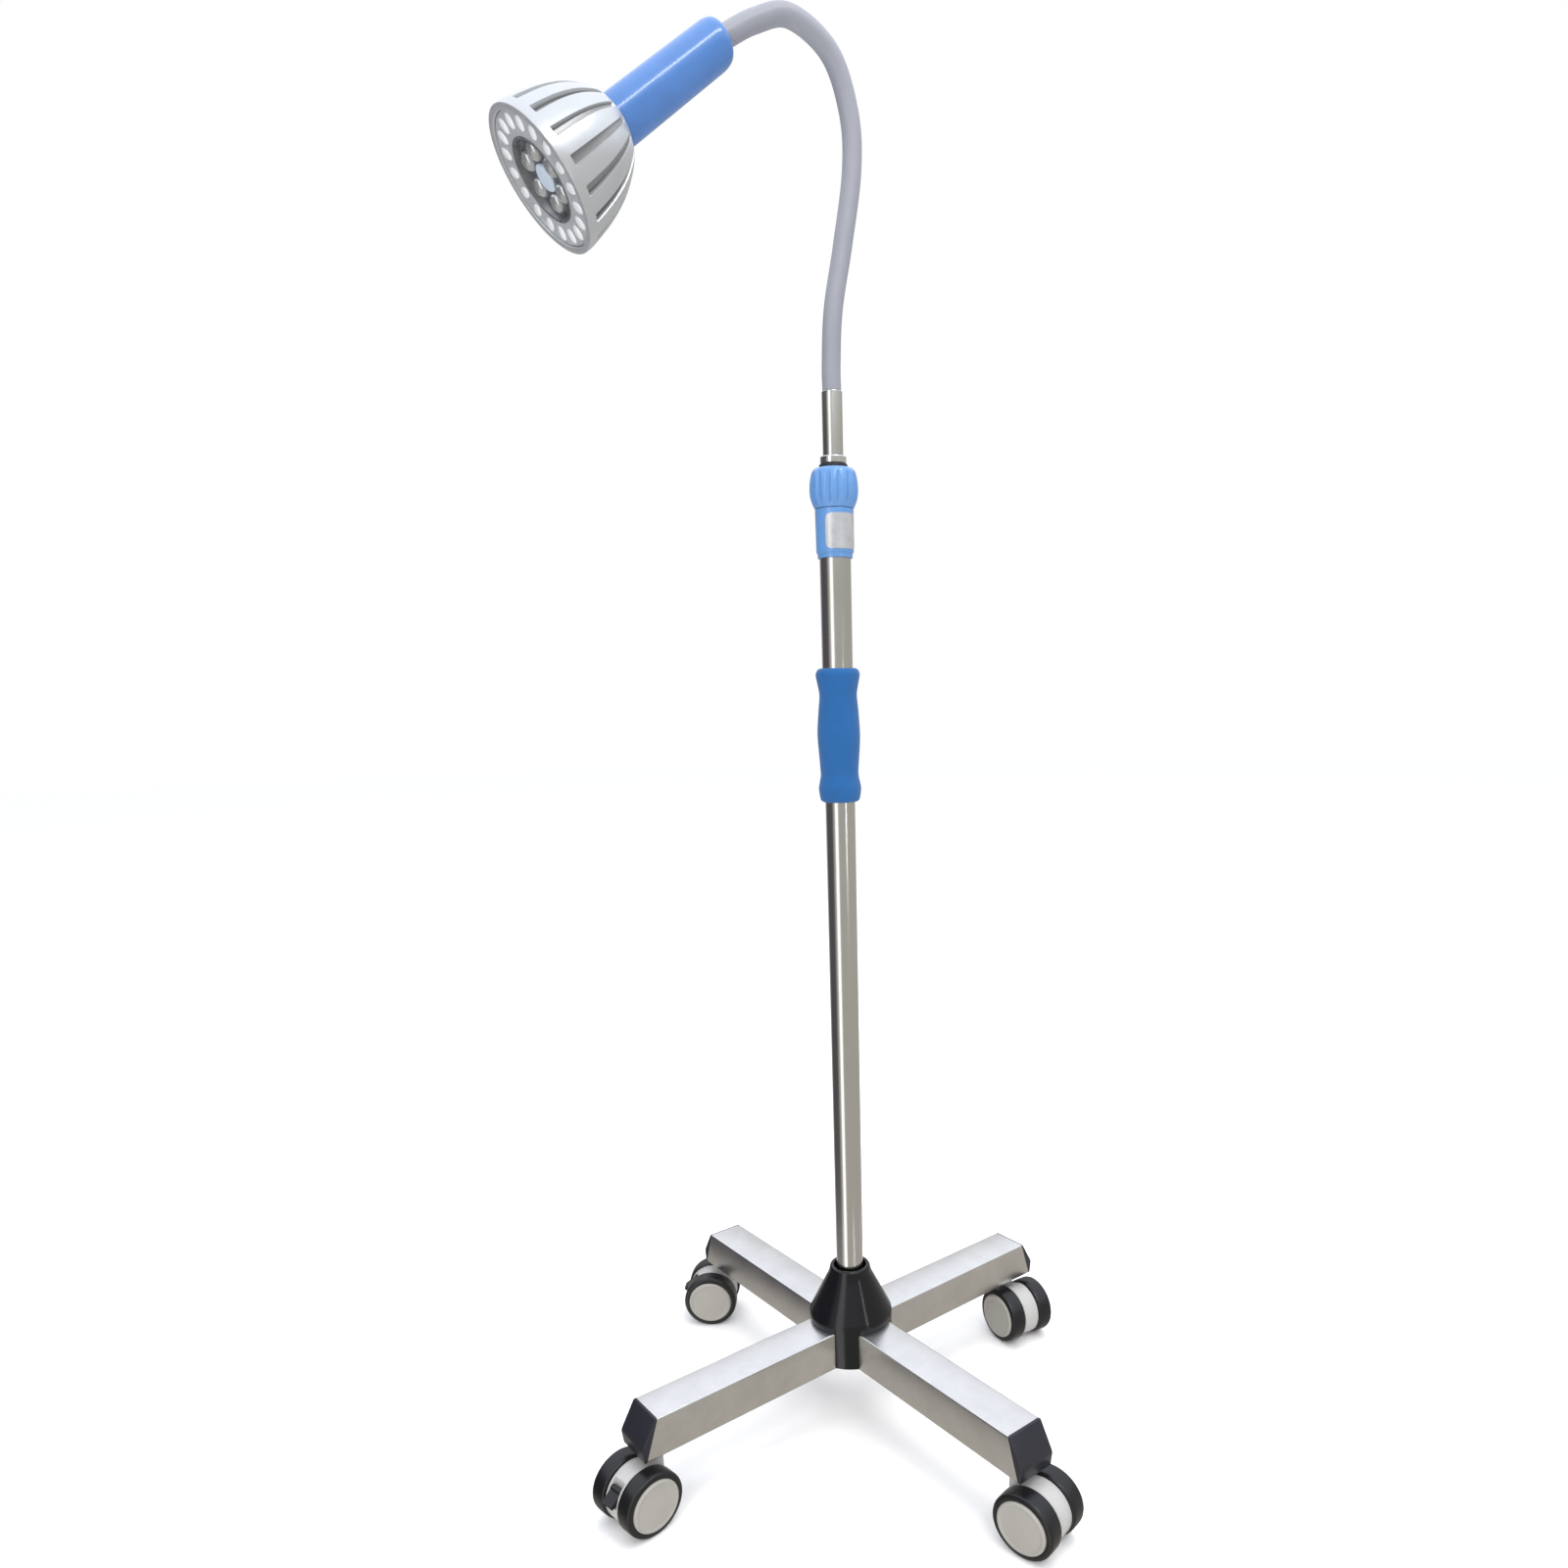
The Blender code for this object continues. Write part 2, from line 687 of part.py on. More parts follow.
def arc_lengths(route):
    lengths = [0.0]
    for a, b in zip(route, route[1:]):
        lengths.append(lengths[-1] + (b - a).length)
    return lengths


def point_at(route, lengths, where):
    for index, (low, high) in enumerate(zip(lengths, lengths[1:])):
        if where <= high:
            return route[index].lerp(route[index + 1], (where - low) / (high - low))
    return route[-1]


def make_neck():
    """Six links on ball joints stand for the wound steel hose: a dome on one turns in a cup of the next."""
    plane = empty("neck_plane", (0, 0, 0), (0, 0, HEAD_AZIMUTH), frame)
    route = neck_route()
    lengths = arc_lengths(route)
    stations = (0.0, *NECK_JOINTS, lengths[-1])
    for index, (begin, end) in enumerate(zip(stations, stations[1:])):
        first, last = index == 0, index == len(NECK_JOINTS)
        start = begin + (GAP if first else CUP_SETBACK)
        origin = point_at(route, lengths, begin)
        count = max(5, round((end - start) / 0.011))
        curve = bpy.data.curves.new(f"neck_link_{index}", "CURVE")
        curve.dimensions = "3D"
        curve.bevel_depth = NECK_RADIUS
        curve.bevel_resolution = 2
        curve.use_fill_caps = True
        spline = curve.splines.new("POLY")
        spline.points.add(count)
        for step, point in enumerate(spline.points):
            along = start + (end - start) * step / count
            point.co = (*(point_at(route, lengths, along) - origin), 1)
        sweep = bpy.data.objects.new("neck_sweep", curve)
        parts.objects.link(sweep)
        graph = bpy.context.evaluated_depsgraph_get()
        mesh = bpy.data.meshes.new_from_object(sweep.evaluated_get(graph))
        bpy.data.objects.remove(sweep)
        shape = bmesh.new()
        shape.from_mesh(mesh)
        bmesh.ops.remove_doubles(shape, verts=shape.verts, dist=0.00001)
        bmesh.ops.recalc_face_normals(shape, faces=shape.faces)
        shape.to_mesh(mesh)
        shape.free()
        mesh.materials.clear()
        link = new_object(f"neck_link_{index}", mesh, GREY_PVC)
        place(link, origin, parent=plane)
        if not last:
            dome = ball(f"dome_{index}", DOME_RADIUS)
            place(dome, point_at(route, lengths, end), parent=plane)
            boolean(link, dome, "UNION")
        if not first:
            cup = ball(f"cup_{index}", CUP_RADIUS)
            place(cup, origin, parent=plane)
            boolean(link, cup)


def ball(name, radius):
    mesh = bpy.data.meshes.new(name)
    shape = bmesh.new()
    bmesh.ops.create_uvsphere(shape, u_segments=12, v_segments=8, radius=radius)
    shape.to_mesh(mesh)
    shape.free()
    return new_object(name, mesh)


# ---------------------------------------------------------------- head
BELL_OUTLINE = (  # (distance behind the face, radius) as shares of the face's radius
    (0.00, 1.00),
    (0.12, 1.00),
    (0.34, 0.967),
    (0.56, 0.925),
    (0.78, 0.863),
    (0.98, 0.785),
    (1.17, 0.68),
    (1.32, 0.575),
    (1.42, 0.47),
)


def make_head():
    """The lamp in its handle. Local +Z is the light's direction, and the face is at Z = 0."""
    turn = (0, math.pi / 2 + HEAD_TILT, HEAD_AZIMUTH)
    centre = Matrix.Rotation(HEAD_AZIMUTH, 3, "Z") @ Vector((HEAD_REACH, 0, HEAD_HEIGHT))
    head = empty("head_axis", centre, turn, frame)
    make_handle(head)
    make_bulb(head)


def make_handle(head):
    front, back = -HANDLE_FRONT, -HANDLE_BACK
    neck_bore = NECK_RADIUS + 2 * GAP
    handle = turned(
        "handle_sleeve",
        [
            (HANDLE_FRONT_RADIUS - 0.0006, front),
            (HANDLE_FRONT_RADIUS, front - 0.0006),
            (HANDLE_BACK_RADIUS, back + 0.010),
            (HANDLE_BACK_RADIUS - 0.0030, back + 0.0030),
            (HANDLE_BACK_RADIUS - 0.0090, back),
            (neck_bore, back),
            (neck_bore, back + 0.004),
            (HANDLE_BACK_RADIUS - HANDLE_WALL - 0.0024, back + 0.007),
            (HANDLE_FRONT_RADIUS - HANDLE_WALL, front),
        ],
        PALE_BLUE,
        ring=True,
    )
    place(handle, parent=head)
    cap_bore = CAP_RADIUS + 0.0006
    holder_front = front - 0.004
    holder_back = holder_front - 0.046
    holder = turned(
        "lamp_holder",
        [
            (0.0, holder_back + 0.012),
            (cap_bore, holder_back + 0.012),
            (cap_bore, holder_front),
            (HOLDER_RADIUS, holder_front),
            (HOLDER_RADIUS, holder_back + 0.010),
            (HOLDER_RADIUS - 0.004, holder_back),
            (0.0, holder_back),
        ],
        WHITE,
    )
    place(holder, parent=head)
    button = rod_profile(0.0045, holder_back + 0.0124, holder_back + 0.0154)
    contact = turned("centre_contact", button, BRASS, facets=12)
    place(contact, parent=head)


def make_bulb(head):
    """The reflector lamp: finned heat sink, bezel with lenses, LED board and screw cap."""
    outer = [(share * FACE_RADIUS, -behind * FACE_RADIUS) for behind, share in BELL_OUTLINE]
    wall = FIN_DEPTH + 0.0025
    inner = [(radius - wall, height) for radius, height in reversed(outer[3:])]
    cavity_depth = 0.0126
    cavity_radius = FACE_RADIUS - 0.005
    ledge_radius = inner[-1][0]
    sink = turned(
        "heat_sink",
        [(0.0, 0.005 - BELL_LENGTH), *inner, (ledge_radius, -cavity_depth)]
        + [(cavity_radius, -cavity_depth), (cavity_radius, 0.0)]
        + [*outer, (0.0240, -BELL_LENGTH), (0.0, -BELL_LENGTH)],
        SILVER_PAINT,
        facets=FINE_FACETS,
    )
    place(sink, parent=head)
    core = turned(
        "fin_core",
        [(0.0, 0.01)]
        + [(0.08, 0.01), (0.08, outer[1][1] - 0.002)]
        + [(radius - FIN_DEPTH, height) for radius, height in outer[2:]]
        + [(0.0240 - 0.002, -BELL_LENGTH - 0.01), (0.0, -BELL_LENGTH - 0.01)],
        facets=FINE_FACETS,
    )
    place(core, parent=head)
    grooves = []
    for index in range(FIN_COUNT):
        low = (0.010, -GROOVE_WIDTH / 2, -BELL_LENGTH - 0.005)
        high = (0.075, GROOVE_WIDTH / 2, 0.005)
        groove = box(f"groove_{index}", low, high)
        place(groove, rotation=(0, 0, (index + 0.5) * math.tau / FIN_COUNT), parent=head)
        grooves.append(groove)
    for groove in grooves:
        boolean(groove, core)
        boolean(sink, groove)
    disc = rod_profile(cavity_radius - 0.001, -cavity_depth + GAP, -cavity_depth + 0.002)
    board = turned("led_board", disc, WHITE)
    place(board, parent=head)
    lens_radius = cavity_radius - GAP
    lens_back = -cavity_depth + 0.0023
    lens = turned(
        "lens_plate",
        [
            (0.0, -0.0080),
            (RECESS_RADIUS - 0.003, -0.0080),
            (RECESS_RADIUS, -0.0010),
            (lens_radius, -0.0010),
            (lens_radius, lens_back),
            (0.0, lens_back),
        ],
        CLEAR,
        facets=FINE_FACETS,
    )
    place(lens, parent=head)
    cap_front = -BELL_LENGTH - GAP
    thread = []
    for turn in range(5):
        at = cap_front - 0.004 - 0.0036 * turn
        thread += [(CAP_RADIUS - 0.0012, at), (CAP_RADIUS, at - 0.0018)]
    screw_cap = turned(
        "screw_cap",
        [(0.0, cap_front), (CAP_RADIUS, cap_front)]
        + thread
        + [(CAP_RADIUS - 0.001, cap_front - CAP_LENGTH), (0.006, -HANDLE_FRONT - 0.004 - 0.0300)]
        + [(0.0, -HANDLE_FRONT - 0.004 - 0.0300)],
        BRASS,
        facets=20,
    )
    place(screw_cap, parent=head)


# ---------------------------------------------------------------- assembly
for leg_position, (leg_azimuth, castor_azimuth) in CASTORS.items():
    make_leg(leg_position, leg_azimuth)
    make_end_cap(leg_position, leg_azimuth)
    make_castor(leg_position, leg_azimuth, castor_azimuth)
make_hub()
make_cone_cover()
make_pole()
make_grip()
make_collar()
make_inner_tube()
make_neck()
make_head()
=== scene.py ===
"""Mobile examination lamp: its visible surfaces, materials, light and camera, round the CAD frame.

Metres, +Z up. Sizes that part.py drives keep the names they have there.
"""

import json
import math

import bmesh
import bpy
from mathutils import Euler, Matrix, Vector


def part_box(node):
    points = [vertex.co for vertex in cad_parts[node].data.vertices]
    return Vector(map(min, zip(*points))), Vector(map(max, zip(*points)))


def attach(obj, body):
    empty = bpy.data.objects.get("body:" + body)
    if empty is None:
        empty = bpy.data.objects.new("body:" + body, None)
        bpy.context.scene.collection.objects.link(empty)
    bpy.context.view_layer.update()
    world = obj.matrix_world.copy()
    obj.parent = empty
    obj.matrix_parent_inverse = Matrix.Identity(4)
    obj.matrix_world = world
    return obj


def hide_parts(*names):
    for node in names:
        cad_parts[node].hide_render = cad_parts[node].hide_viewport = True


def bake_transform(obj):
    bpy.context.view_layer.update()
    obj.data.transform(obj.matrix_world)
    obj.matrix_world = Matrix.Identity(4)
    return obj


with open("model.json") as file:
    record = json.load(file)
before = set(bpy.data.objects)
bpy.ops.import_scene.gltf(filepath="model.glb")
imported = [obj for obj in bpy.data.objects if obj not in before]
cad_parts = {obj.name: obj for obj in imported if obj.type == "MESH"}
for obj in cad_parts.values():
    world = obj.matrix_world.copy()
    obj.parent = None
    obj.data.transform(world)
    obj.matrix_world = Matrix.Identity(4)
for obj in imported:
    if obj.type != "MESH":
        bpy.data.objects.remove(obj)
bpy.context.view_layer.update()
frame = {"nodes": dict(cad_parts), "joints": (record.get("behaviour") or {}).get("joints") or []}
NODES = frame["nodes"]
JOINTS = {joint["name"]: joint for joint in frame["joints"]}

# ---------------------------------------------------------------- sizes shared with the CAD
GAP = 0.0003
LEG_REACH, LEG_SIDE, LEG_WALL, LEG_SLANT = 0.295, 0.050, 0.002, 0.0165
LEG_TOP = 0.1354
LEG_BOTTOM = LEG_TOP - LEG_SIDE
LEG_CORNER = 0.0024
CAP_PLATE, CAP_RIDGE, CAP_RIDGE_DROP, CAP_PLUG = 0.0020, 0.0105, 0.032, 0.006
CONE_TOP, CONE_TOP_RADIUS, CONE_RADIUS = 0.206, 0.0248, 0.0525
POLE_RADIUS, POLE_BORE, POLE_TOP = 0.0167, 0.0151, 1.101
TUBE_RADIUS, TUBE_BORE, TUBE_BOTTOM, TUBE_TOP = 0.01065, 0.00915, 0.560, 1.2027
GRIP_BOTTOM, GRIP_TOP = 0.7853, 0.9295
COLLAR_BOTTOM, NUT_BOTTOM, NUT_TOP = 1.0419, 1.0906, 1.1296
NUT_RADIUS, NUT_FLUTES = 0.0258, 14
INLET_HEIGHT, INLET_RADIUS, INLET_AZIMUTH = 0.250, 0.0055, math.radians(50)
LEG_AZIMUTHS = {"front_left": 180, "front_right": 270, "rear_left": 90, "rear_right": 0}
BRAKED = ("front_left", "rear_left")
WHEEL_RADIUS, HUB_RADIUS, HUB_OUTER = 0.038, 0.0306, 0.0373
TYRE_INNER, TYRE_OUTER = 0.0125, 0.0345
HOUSING_HALF, HOUSING_RADIUS, HOUSING_TOP = 0.0115, 0.035, 0.0822
PEDAL_REACH, PEDAL_RISE = 0.0255, 0.0175  # the pedal's pivot from the axle
NECK_RADIUS = 0.0097
FACE_RADIUS, BELL_LENGTH = 0.061, 0.089
HANDLE_FRONT, HANDLE_BACK = 0.0898, 0.228
HANDLE_FRONT_RADIUS, HANDLE_BACK_RADIUS = 0.0222, 0.0208
FIN_COUNT, SMALL_LENSES, LARGE_LENSES = 16, 18, 6
NECK_ROUTE = (  # reach from the pole's axis and height above the inner tube's top
    (0.0, 0.0),
    (0.0, 0.027),
    (-0.0036, 0.076),
    (-0.0155, 0.134),
    (-0.0270, 0.200),
    (-0.0250, 0.249),
    (-0.0052, 0.2945),
    (0.0360, 0.3155),
    (0.0720, 0.3040),
)
NECK_JOINTS = (0.060, 0.130, 0.200, 0.270, 0.345)
BELL_OUTLINE = (  # distance behind the face and radius, as shares of the face's radius
    (0.00, 1.00),
    (0.12, 1.00),
    (0.34, 0.967),
    (0.56, 0.925),
    (0.78, 0.863),
    (0.98, 0.785),
    (1.17, 0.68),
    (1.32, 0.575),
    (1.42, 0.47),
)


# ---------------------------------------------------------------- materials
def set_sockets(shader, values):
    for name, value in values.items():
        shader.inputs[name].default_value = value


def surface(name, colour, roughness, grain=600.0, depth=0.00005, tint=0.06, spread=0.05,
            stretch=(1, 1, 1), broad=14.0, strength=0.5, **values):
    """A shader with broad colour variation, and a fine grain in its roughness and relief."""
    made = bpy.data.materials.new(name)
    made.use_nodes = True
    nodes, links = made.node_tree.nodes, made.node_tree.links
    shader = nodes["Principled BSDF"]
    set_sockets(shader, values)
    where = nodes.new("ShaderNodeTexCoord")
    scaled = nodes.new("ShaderNodeMapping")
    scaled.inputs["Scale"].default_value = stretch
    links.new(where.outputs["Object"], scaled.inputs["Vector"])
    fine = nodes.new("ShaderNodeTexNoise")
    fine.inputs["Scale"].default_value = grain
    fine.inputs["Detail"].default_value = 5.0
    links.new(scaled.outputs["Vector"], fine.inputs["Vector"])
    slow = nodes.new("ShaderNodeTexNoise")
    slow.inputs["Scale"].default_value = broad
    slow.inputs["Detail"].default_value = 6.0
    slow.inputs["Roughness"].default_value = 0.62
    links.new(where.outputs["Object"], slow.inputs["Vector"])
    ramp = nodes.new("ShaderNodeValToRGB")
    low, high = ramp.color_ramp.elements
    low.position, high.position = 0.3, 0.7
    low.color = (*(part * (1 - tint) for part in colour), 1)
    high.color = (*(min(1.0, part * (1 + tint)) for part in colour), 1)
    links.new(slow.outputs["Fac"], ramp.inputs["Fac"])
    links.new(ramp.outputs["Color"], shader.inputs["Base Color"])
    gloss = nodes.new("ShaderNodeMapRange")
    gloss.inputs["From Min"].default_value = 0.3
    gloss.inputs["From Max"].default_value = 0.7
    gloss.inputs["To Min"].default_value = max(0.02, roughness - spread)
    gloss.inputs["To Max"].default_value = roughness + spread
    both = nodes.new("ShaderNodeMath")
    both.operation = "ADD"
    halved = nodes.new("ShaderNodeMath")
    halved.operation = "MULTIPLY"
    halved.inputs[1].default_value = 0.5
    links.new(fine.outputs["Fac"], both.inputs[0])
    links.new(slow.outputs["Fac"], both.inputs[1])
    links.new(both.outputs[0], halved.inputs[0])
    links.new(halved.outputs[0], gloss.inputs["Value"])
    links.new(gloss.outputs[0], shader.inputs["Roughness"])
    relief = nodes.new("ShaderNodeBump")
    relief.inputs["Strength"].default_value = strength
    relief.inputs["Distance"].default_value = depth
    links.new(fine.outputs["Fac"], relief.inputs["Height"])
    links.new(relief.outputs["Normal"], shader.inputs["Normal"])
    return made


TUBE_STEEL = surface("tube_steel", (0.66, 0.65, 0.62), 0.19, grain=300, stretch=(1, 1, 0.03), tint=0.03,
                     depth=0.000003, spread=0.03, Metallic=1.0)
LEG_STEEL = surface("leg_steel", (0.70, 0.69, 0.67), 0.24, grain=500, stretch=(1, 1, 0.35), tint=0.07,
                    depth=0.000004, spread=0.05, broad=26, Metallic=1.0)
BRIGHT_STEEL = surface("bright_steel", (0.80, 0.80, 0.80), 0.14, grain=900, tint=0.03, spread=0.05,
                       depth=0.000003, Metallic=1.0)
BLACK_GLOSS = surface("cone_black", (0.005, 0.0052, 0.0065), 0.14, grain=900, tint=0.2, spread=0.05,
                      depth=0.000004, **{"Specular IOR Level": 0.38})
CAP_BLACK = surface("cap_black", (0.014, 0.0145, 0.021), 0.36, grain=1300, tint=0.18, spread=0.06,
                    depth=0.00003)
PEDAL_BLACK = surface("pedal_black", (0.010, 0.010, 0.012), 0.36, grain=1300, tint=0.18, depth=0.00002)
TYRE_BLACK = surface("tyre_black", (0.0055, 0.0055, 0.0065), 0.34, grain=1500, tint=0.25, spread=0.08,
                     depth=0.00002)
GASKET_BLACK = surface("gasket_black", (0.012, 0.012, 0.016), 0.45, grain=1500, tint=0.2, depth=0.00002)
PALE_BLUE = surface("pale_blue_plastic", (0.100, 0.238, 0.49), 0.22, grain=700, tint=0.05,
                    depth=0.000004, broad=40, **{"Coat Weight": 0.25, "Coat Roughness": 0.08})
HANDLE_BLUE = surface("handle_blue_plastic", (0.060, 0.160, 0.40), 0.22, grain=260, tint=0.05,
                      depth=0.0000006, broad=40, **{"Coat Weight": 0.3, "Coat Roughness": 0.06})
NECK_GREY = surface("neck_grey_pvc", (0.235, 0.242, 0.272), 0.42, grain=1500, tint=0.05, depth=0.00002)
HUB_GREY = surface("hub_grey", (0.325, 0.31, 0.275), 0.42, grain=1300, tint=0.05, depth=0.00002)
HOUSING_WHITE = surface("housing_white", (0.43, 0.42, 0.405), 0.33, grain=1100, tint=0.05, depth=0.00002)
INNER_WHITE = surface("inner_white", (0.70, 0.70, 0.69), 0.4, grain=1100, tint=0.04, depth=0.00002)
BELL_SILVER = surface("bell_silver_paint", (0.52, 0.535, 0.545), 0.32, grain=2400, tint=0.04, depth=0.00001,
                      Metallic=0.6)
LABEL_SILVER = surface("label_silver", (0.50, 0.505, 0.52), 0.30, grain=900, tint=0.12, broad=70,
                       stretch=(1, 1, 6), depth=0.000006, Metallic=0.5)
# Darker grey for the bell's groove floors: painted shade standing in for the shadow inside the grooves.
GROOVE_PAINTED_SHADE = surface("bell_groove_painted_shade", (0.31, 0.31, 0.31), 0.34, grain=2400, tint=0.08, depth=0.00001,
                      Metallic=0.5)
BRASS = surface("screw_cap_brass", (0.72, 0.54, 0.26), 0.28, grain=1200, tint=0.08, depth=0.00001,
                Metallic=1.0)
LENS_PLATE = surface("lens_plate_grey", (0.46, 0.475, 0.485), 0.24, grain=900, tint=0.10, depth=0.00002,
                     broad=90, Metallic=0.35)
RECESS_DARK = surface("recess_grey", (0.17, 0.175, 0.185), 0.18, grain=900, tint=0.25, depth=0.00001,
                      broad=90, Metallic=0.6)
LENS_CLEAR = surface("small_lens_clear", (0.80, 0.81, 0.82), 0.09, grain=500, tint=0.05, spread=0.03,
                     depth=0.00001, Metallic=0.25, **{"Coat Weight": 0.8, "Coat Roughness": 0.03})
DOME_CLEAR = surface("large_lens_clear", (0.50, 0.51, 0.52), 0.05, grain=500, tint=0.12, spread=0.03,
                     depth=0.00001, broad=120, Metallic=0.7, **{"Coat Weight": 0.9, "Coat Roughness": 0.03})
CENTRE_GREY = surface("centre_disc_grey", (0.44, 0.50, 0.58), 0.3, grain=800, tint=0.06, depth=0.00001)


def foam():
    """Closed-cell foam: fine pores over a soft matt skin."""
    made = surface("grip_foam", (0.006, 0.088, 0.265), 0.85, grain=1900, tint=0.09, broad=26, depth=0.00006,
                   strength=0.7, **{"Sheen Weight": 0.10, "Sheen Roughness": 0.5})
    nodes, links = made.node_tree.nodes, made.node_tree.links
    pores = nodes.new("ShaderNodeTexVoronoi")
    pores.inputs["Scale"].default_value = 1400.0
    where = nodes["Texture Coordinate"]
    links.new(where.outputs["Object"], pores.inputs["Vector"])
    relief = nodes.new("ShaderNodeBump")
    relief.inputs["Strength"].default_value = 0.5
    relief.inputs["Distance"].default_value = 0.00008
    links.new(pores.outputs["Distance"], relief.inputs["Height"])
    links.new(nodes["Bump"].outputs["Normal"], relief.inputs["Normal"])
    links.new(relief.outputs["Normal"], nodes["Principled BSDF"].inputs["Normal"])
    return made


FOAM_BLUE = foam()


# ---------------------------------------------------------------- meshes
SHARP_ANGLE = 38
WELD_DISTANCE = 0.00002


def ring(radius, height, columns):
    if radius < 1e-6:
        return [Vector((0, 0, height))]
    step = math.tau / columns
    turns = [i * step for i in range(columns)]
    return [Vector((radius * math.cos(turn), radius * math.sin(turn), height)) for turn in turns]


def linked(name, data):
    """A new object of this data, in the scene."""
    made = bpy.data.objects.new(name, data)
    bpy.context.scene.collection.objects.link(made)
    return made


def finished(name, shape, material, sharp=SHARP_ANGLE):
    """An object of the bmesh's shape, smooth but for edges over the angle sharp."""
    bmesh.ops.recalc_face_normals(shape, faces=shape.faces)
    mesh = bpy.data.meshes.new(name)
    shape.to_mesh(mesh)
    shape.free()
    mesh.shade_smooth()
    mesh.set_sharp_from_angle(angle=math.radians(sharp))
    mesh.materials.append(material)
    return linked(name, mesh)


def skin(name, rings, material, loop=False, sharp=SHARP_ANGLE):
    """A closed mesh through rings of points, capped at both ends unless loop joins the last to the first."""
    shape = bmesh.new()
    rows = [[shape.verts.new(point) for point in points] for points in rings]
    pairs = list(zip(rows, rows[1:]))
    if loop:
        pairs.append((rows[-1], rows[0]))
    else:
        for row in (rows[0], rows[-1]):
            if len(row) > 1:
                shape.faces.new(row)
    for first, second in pairs:
        count = max(len(first), len(second))
        for i in range(count):
            j = (i + 1) % count
            corners = [first[i], first[j]] if len(first) > 1 else [first[0]]
            corners += [second[j], second[i]] if len(second) > 1 else [second[0]]
            shape.faces.new(corners)
    return finished(name, shape, material, sharp)


def rounded(profile, closed=False):
    """The profile with each corner that gives a third value rounded by about that much."""
    steps = 4
    made = []
    count = len(profile)
    for index, (radius, height, *fillet) in enumerate(profile):
        here = Vector((radius, height))
        inner = closed or 0 < index < count - 1
        if not fillet or not inner:
            made.append(here)
            continue
        before = Vector(profile[index - 1][:2]) - here
        after = Vector(profile[(index + 1) % count][:2]) - here
        start = here + before.normalized() * min(fillet[0], before.length * 0.49)
        end = here + after.normalized() * min(fillet[0], after.length * 0.49)
        for step in range(steps + 1):
            t = step / steps
            made.append(start * (1 - t) ** 2 + here * (2 * t * (1 - t)) + end * t**2)
    return made


def turned(name, profile, material, loop=False, columns=96):
    rings = [ring(point.x, point.y, columns) for point in rounded(profile, loop)]
    return skin(name, rings, material, loop)


def square(half, corner, x, slant=0.0, per_corner=5):
    """A rounded square across local X, centred on the leg's height; slant moves its lower side out."""
    middle = (LEG_TOP + LEG_BOTTOM) / 2
    points = []
    for quarter in range(4):
        for step in range(per_corner + 1):
            angle = (quarter + step / per_corner) * math.pi / 2
            side = math.radians(45) + quarter * math.pi / 2
            y = math.copysign(half - corner, math.cos(side)) + corner * math.cos(angle)
            z = math.copysign(half - corner, math.sin(side)) + corner * math.sin(angle)
            below_top = 0.5 - z / LEG_SIDE
            points.append(Vector((x + slant * below_top, y, middle + z)))
    return points


def through(points, steps=24):
    """A smooth curve through the points (Catmull-Rom)."""
    padded = [points[0] * 2 - points[1], *points, points[-1] * 2 - points[-2]]
    smooth = []
    for a, b, c, d in zip(padded, padded[1:], padded[2:], padded[3:]):
        for step in range(steps):
            t = step / steps
            linear = (c - a) * t
            square_term = (2 * a - 5 * b + 4 * c - d) * t**2
            cubic = (3 * b - a - 3 * c + d) * t**3
            smooth.append((2 * b + linear + square_term + cubic) / 2)
    return smooth + [points[-1]]


def combine(piece, other, operation="DIFFERENCE"):
    """Cuts or joins another object, which is used up."""
    step = piece.modifiers.new("cut", "BOOLEAN")
    step.operation = operation
    step.object = other
    step.solver = "EXACT"
    keep_result(piece)
    bpy.data.objects.remove(other)
    return piece


def shade(piece, sharp=SHARP_ANGLE):
    """Smooth but for edges over the angle sharp, in degrees."""
    piece.data.shade_smooth()
    piece.data.set_sharp_from_angle(angle=math.radians(sharp))


def keep_result(piece):
    """Makes the modifiers' result the piece's own mesh."""
    bpy.context.view_layer.update()
    graph = bpy.context.evaluated_depsgraph_get()
    mesh = bpy.data.meshes.new_from_object(piece.evaluated_get(graph))
    piece.modifiers.clear()
    piece.data = mesh
    mesh.name = piece.name


def round_edges(piece, width, segments, angle):
    """Adds the modifiers that join loose edges and round those over the angle."""
    weld = piece.modifiers.new("weld", "WELD")
    weld.merge_threshold = WELD_DISTANCE
    bevel = piece.modifiers.new("bevel", "BEVEL")
    bevel.width = width
    bevel.segments = segments
    bevel.limit_method = "ANGLE"
    bevel.angle_limit = math.radians(angle)
    bevel.harden_normals = False


def soften(piece, width, segments=3, angle=50):
    """Rounds the edges, keeps the result and shades it smooth between sharp edges."""
    round_edges(piece, width, segments, angle)
    keep_result(piece)
    shade(piece)


def put(piece, body, slot, *nodes, matrix=None):
    """Moves the mesh to its place, hangs it under its body's empty and hides the CAD nodes it stands for."""
    if matrix is not None:
        piece.data.transform(matrix)
        if matrix.to_3x3().determinant() < 0:
            piece.data.flip_normals()
    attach(piece, body)
    if nodes:
        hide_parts(*nodes)
    return piece


def dress(node, material, width=0.0):
    """Gives a CAD node its finish, and rounds its edges where a width is given."""
    piece = NODES[node]
    piece.data.materials.clear()
    piece.data.materials.append(material)
    if width:
        round_edges(piece, width, segments=2, angle=35)


def block(name, low, high, material):
    """A plain block, only ever part of a larger piece."""
    x0, y0, z0 = low
    x1, y1, z1 = high
    corners = ((y0, z0), (y1, z0), (y1, z1), (y0, z1))
    rings = [[Vector((x, y, z)) for y, z in corners] for x in (x0, x1)]
    return skin(name, rings, material)


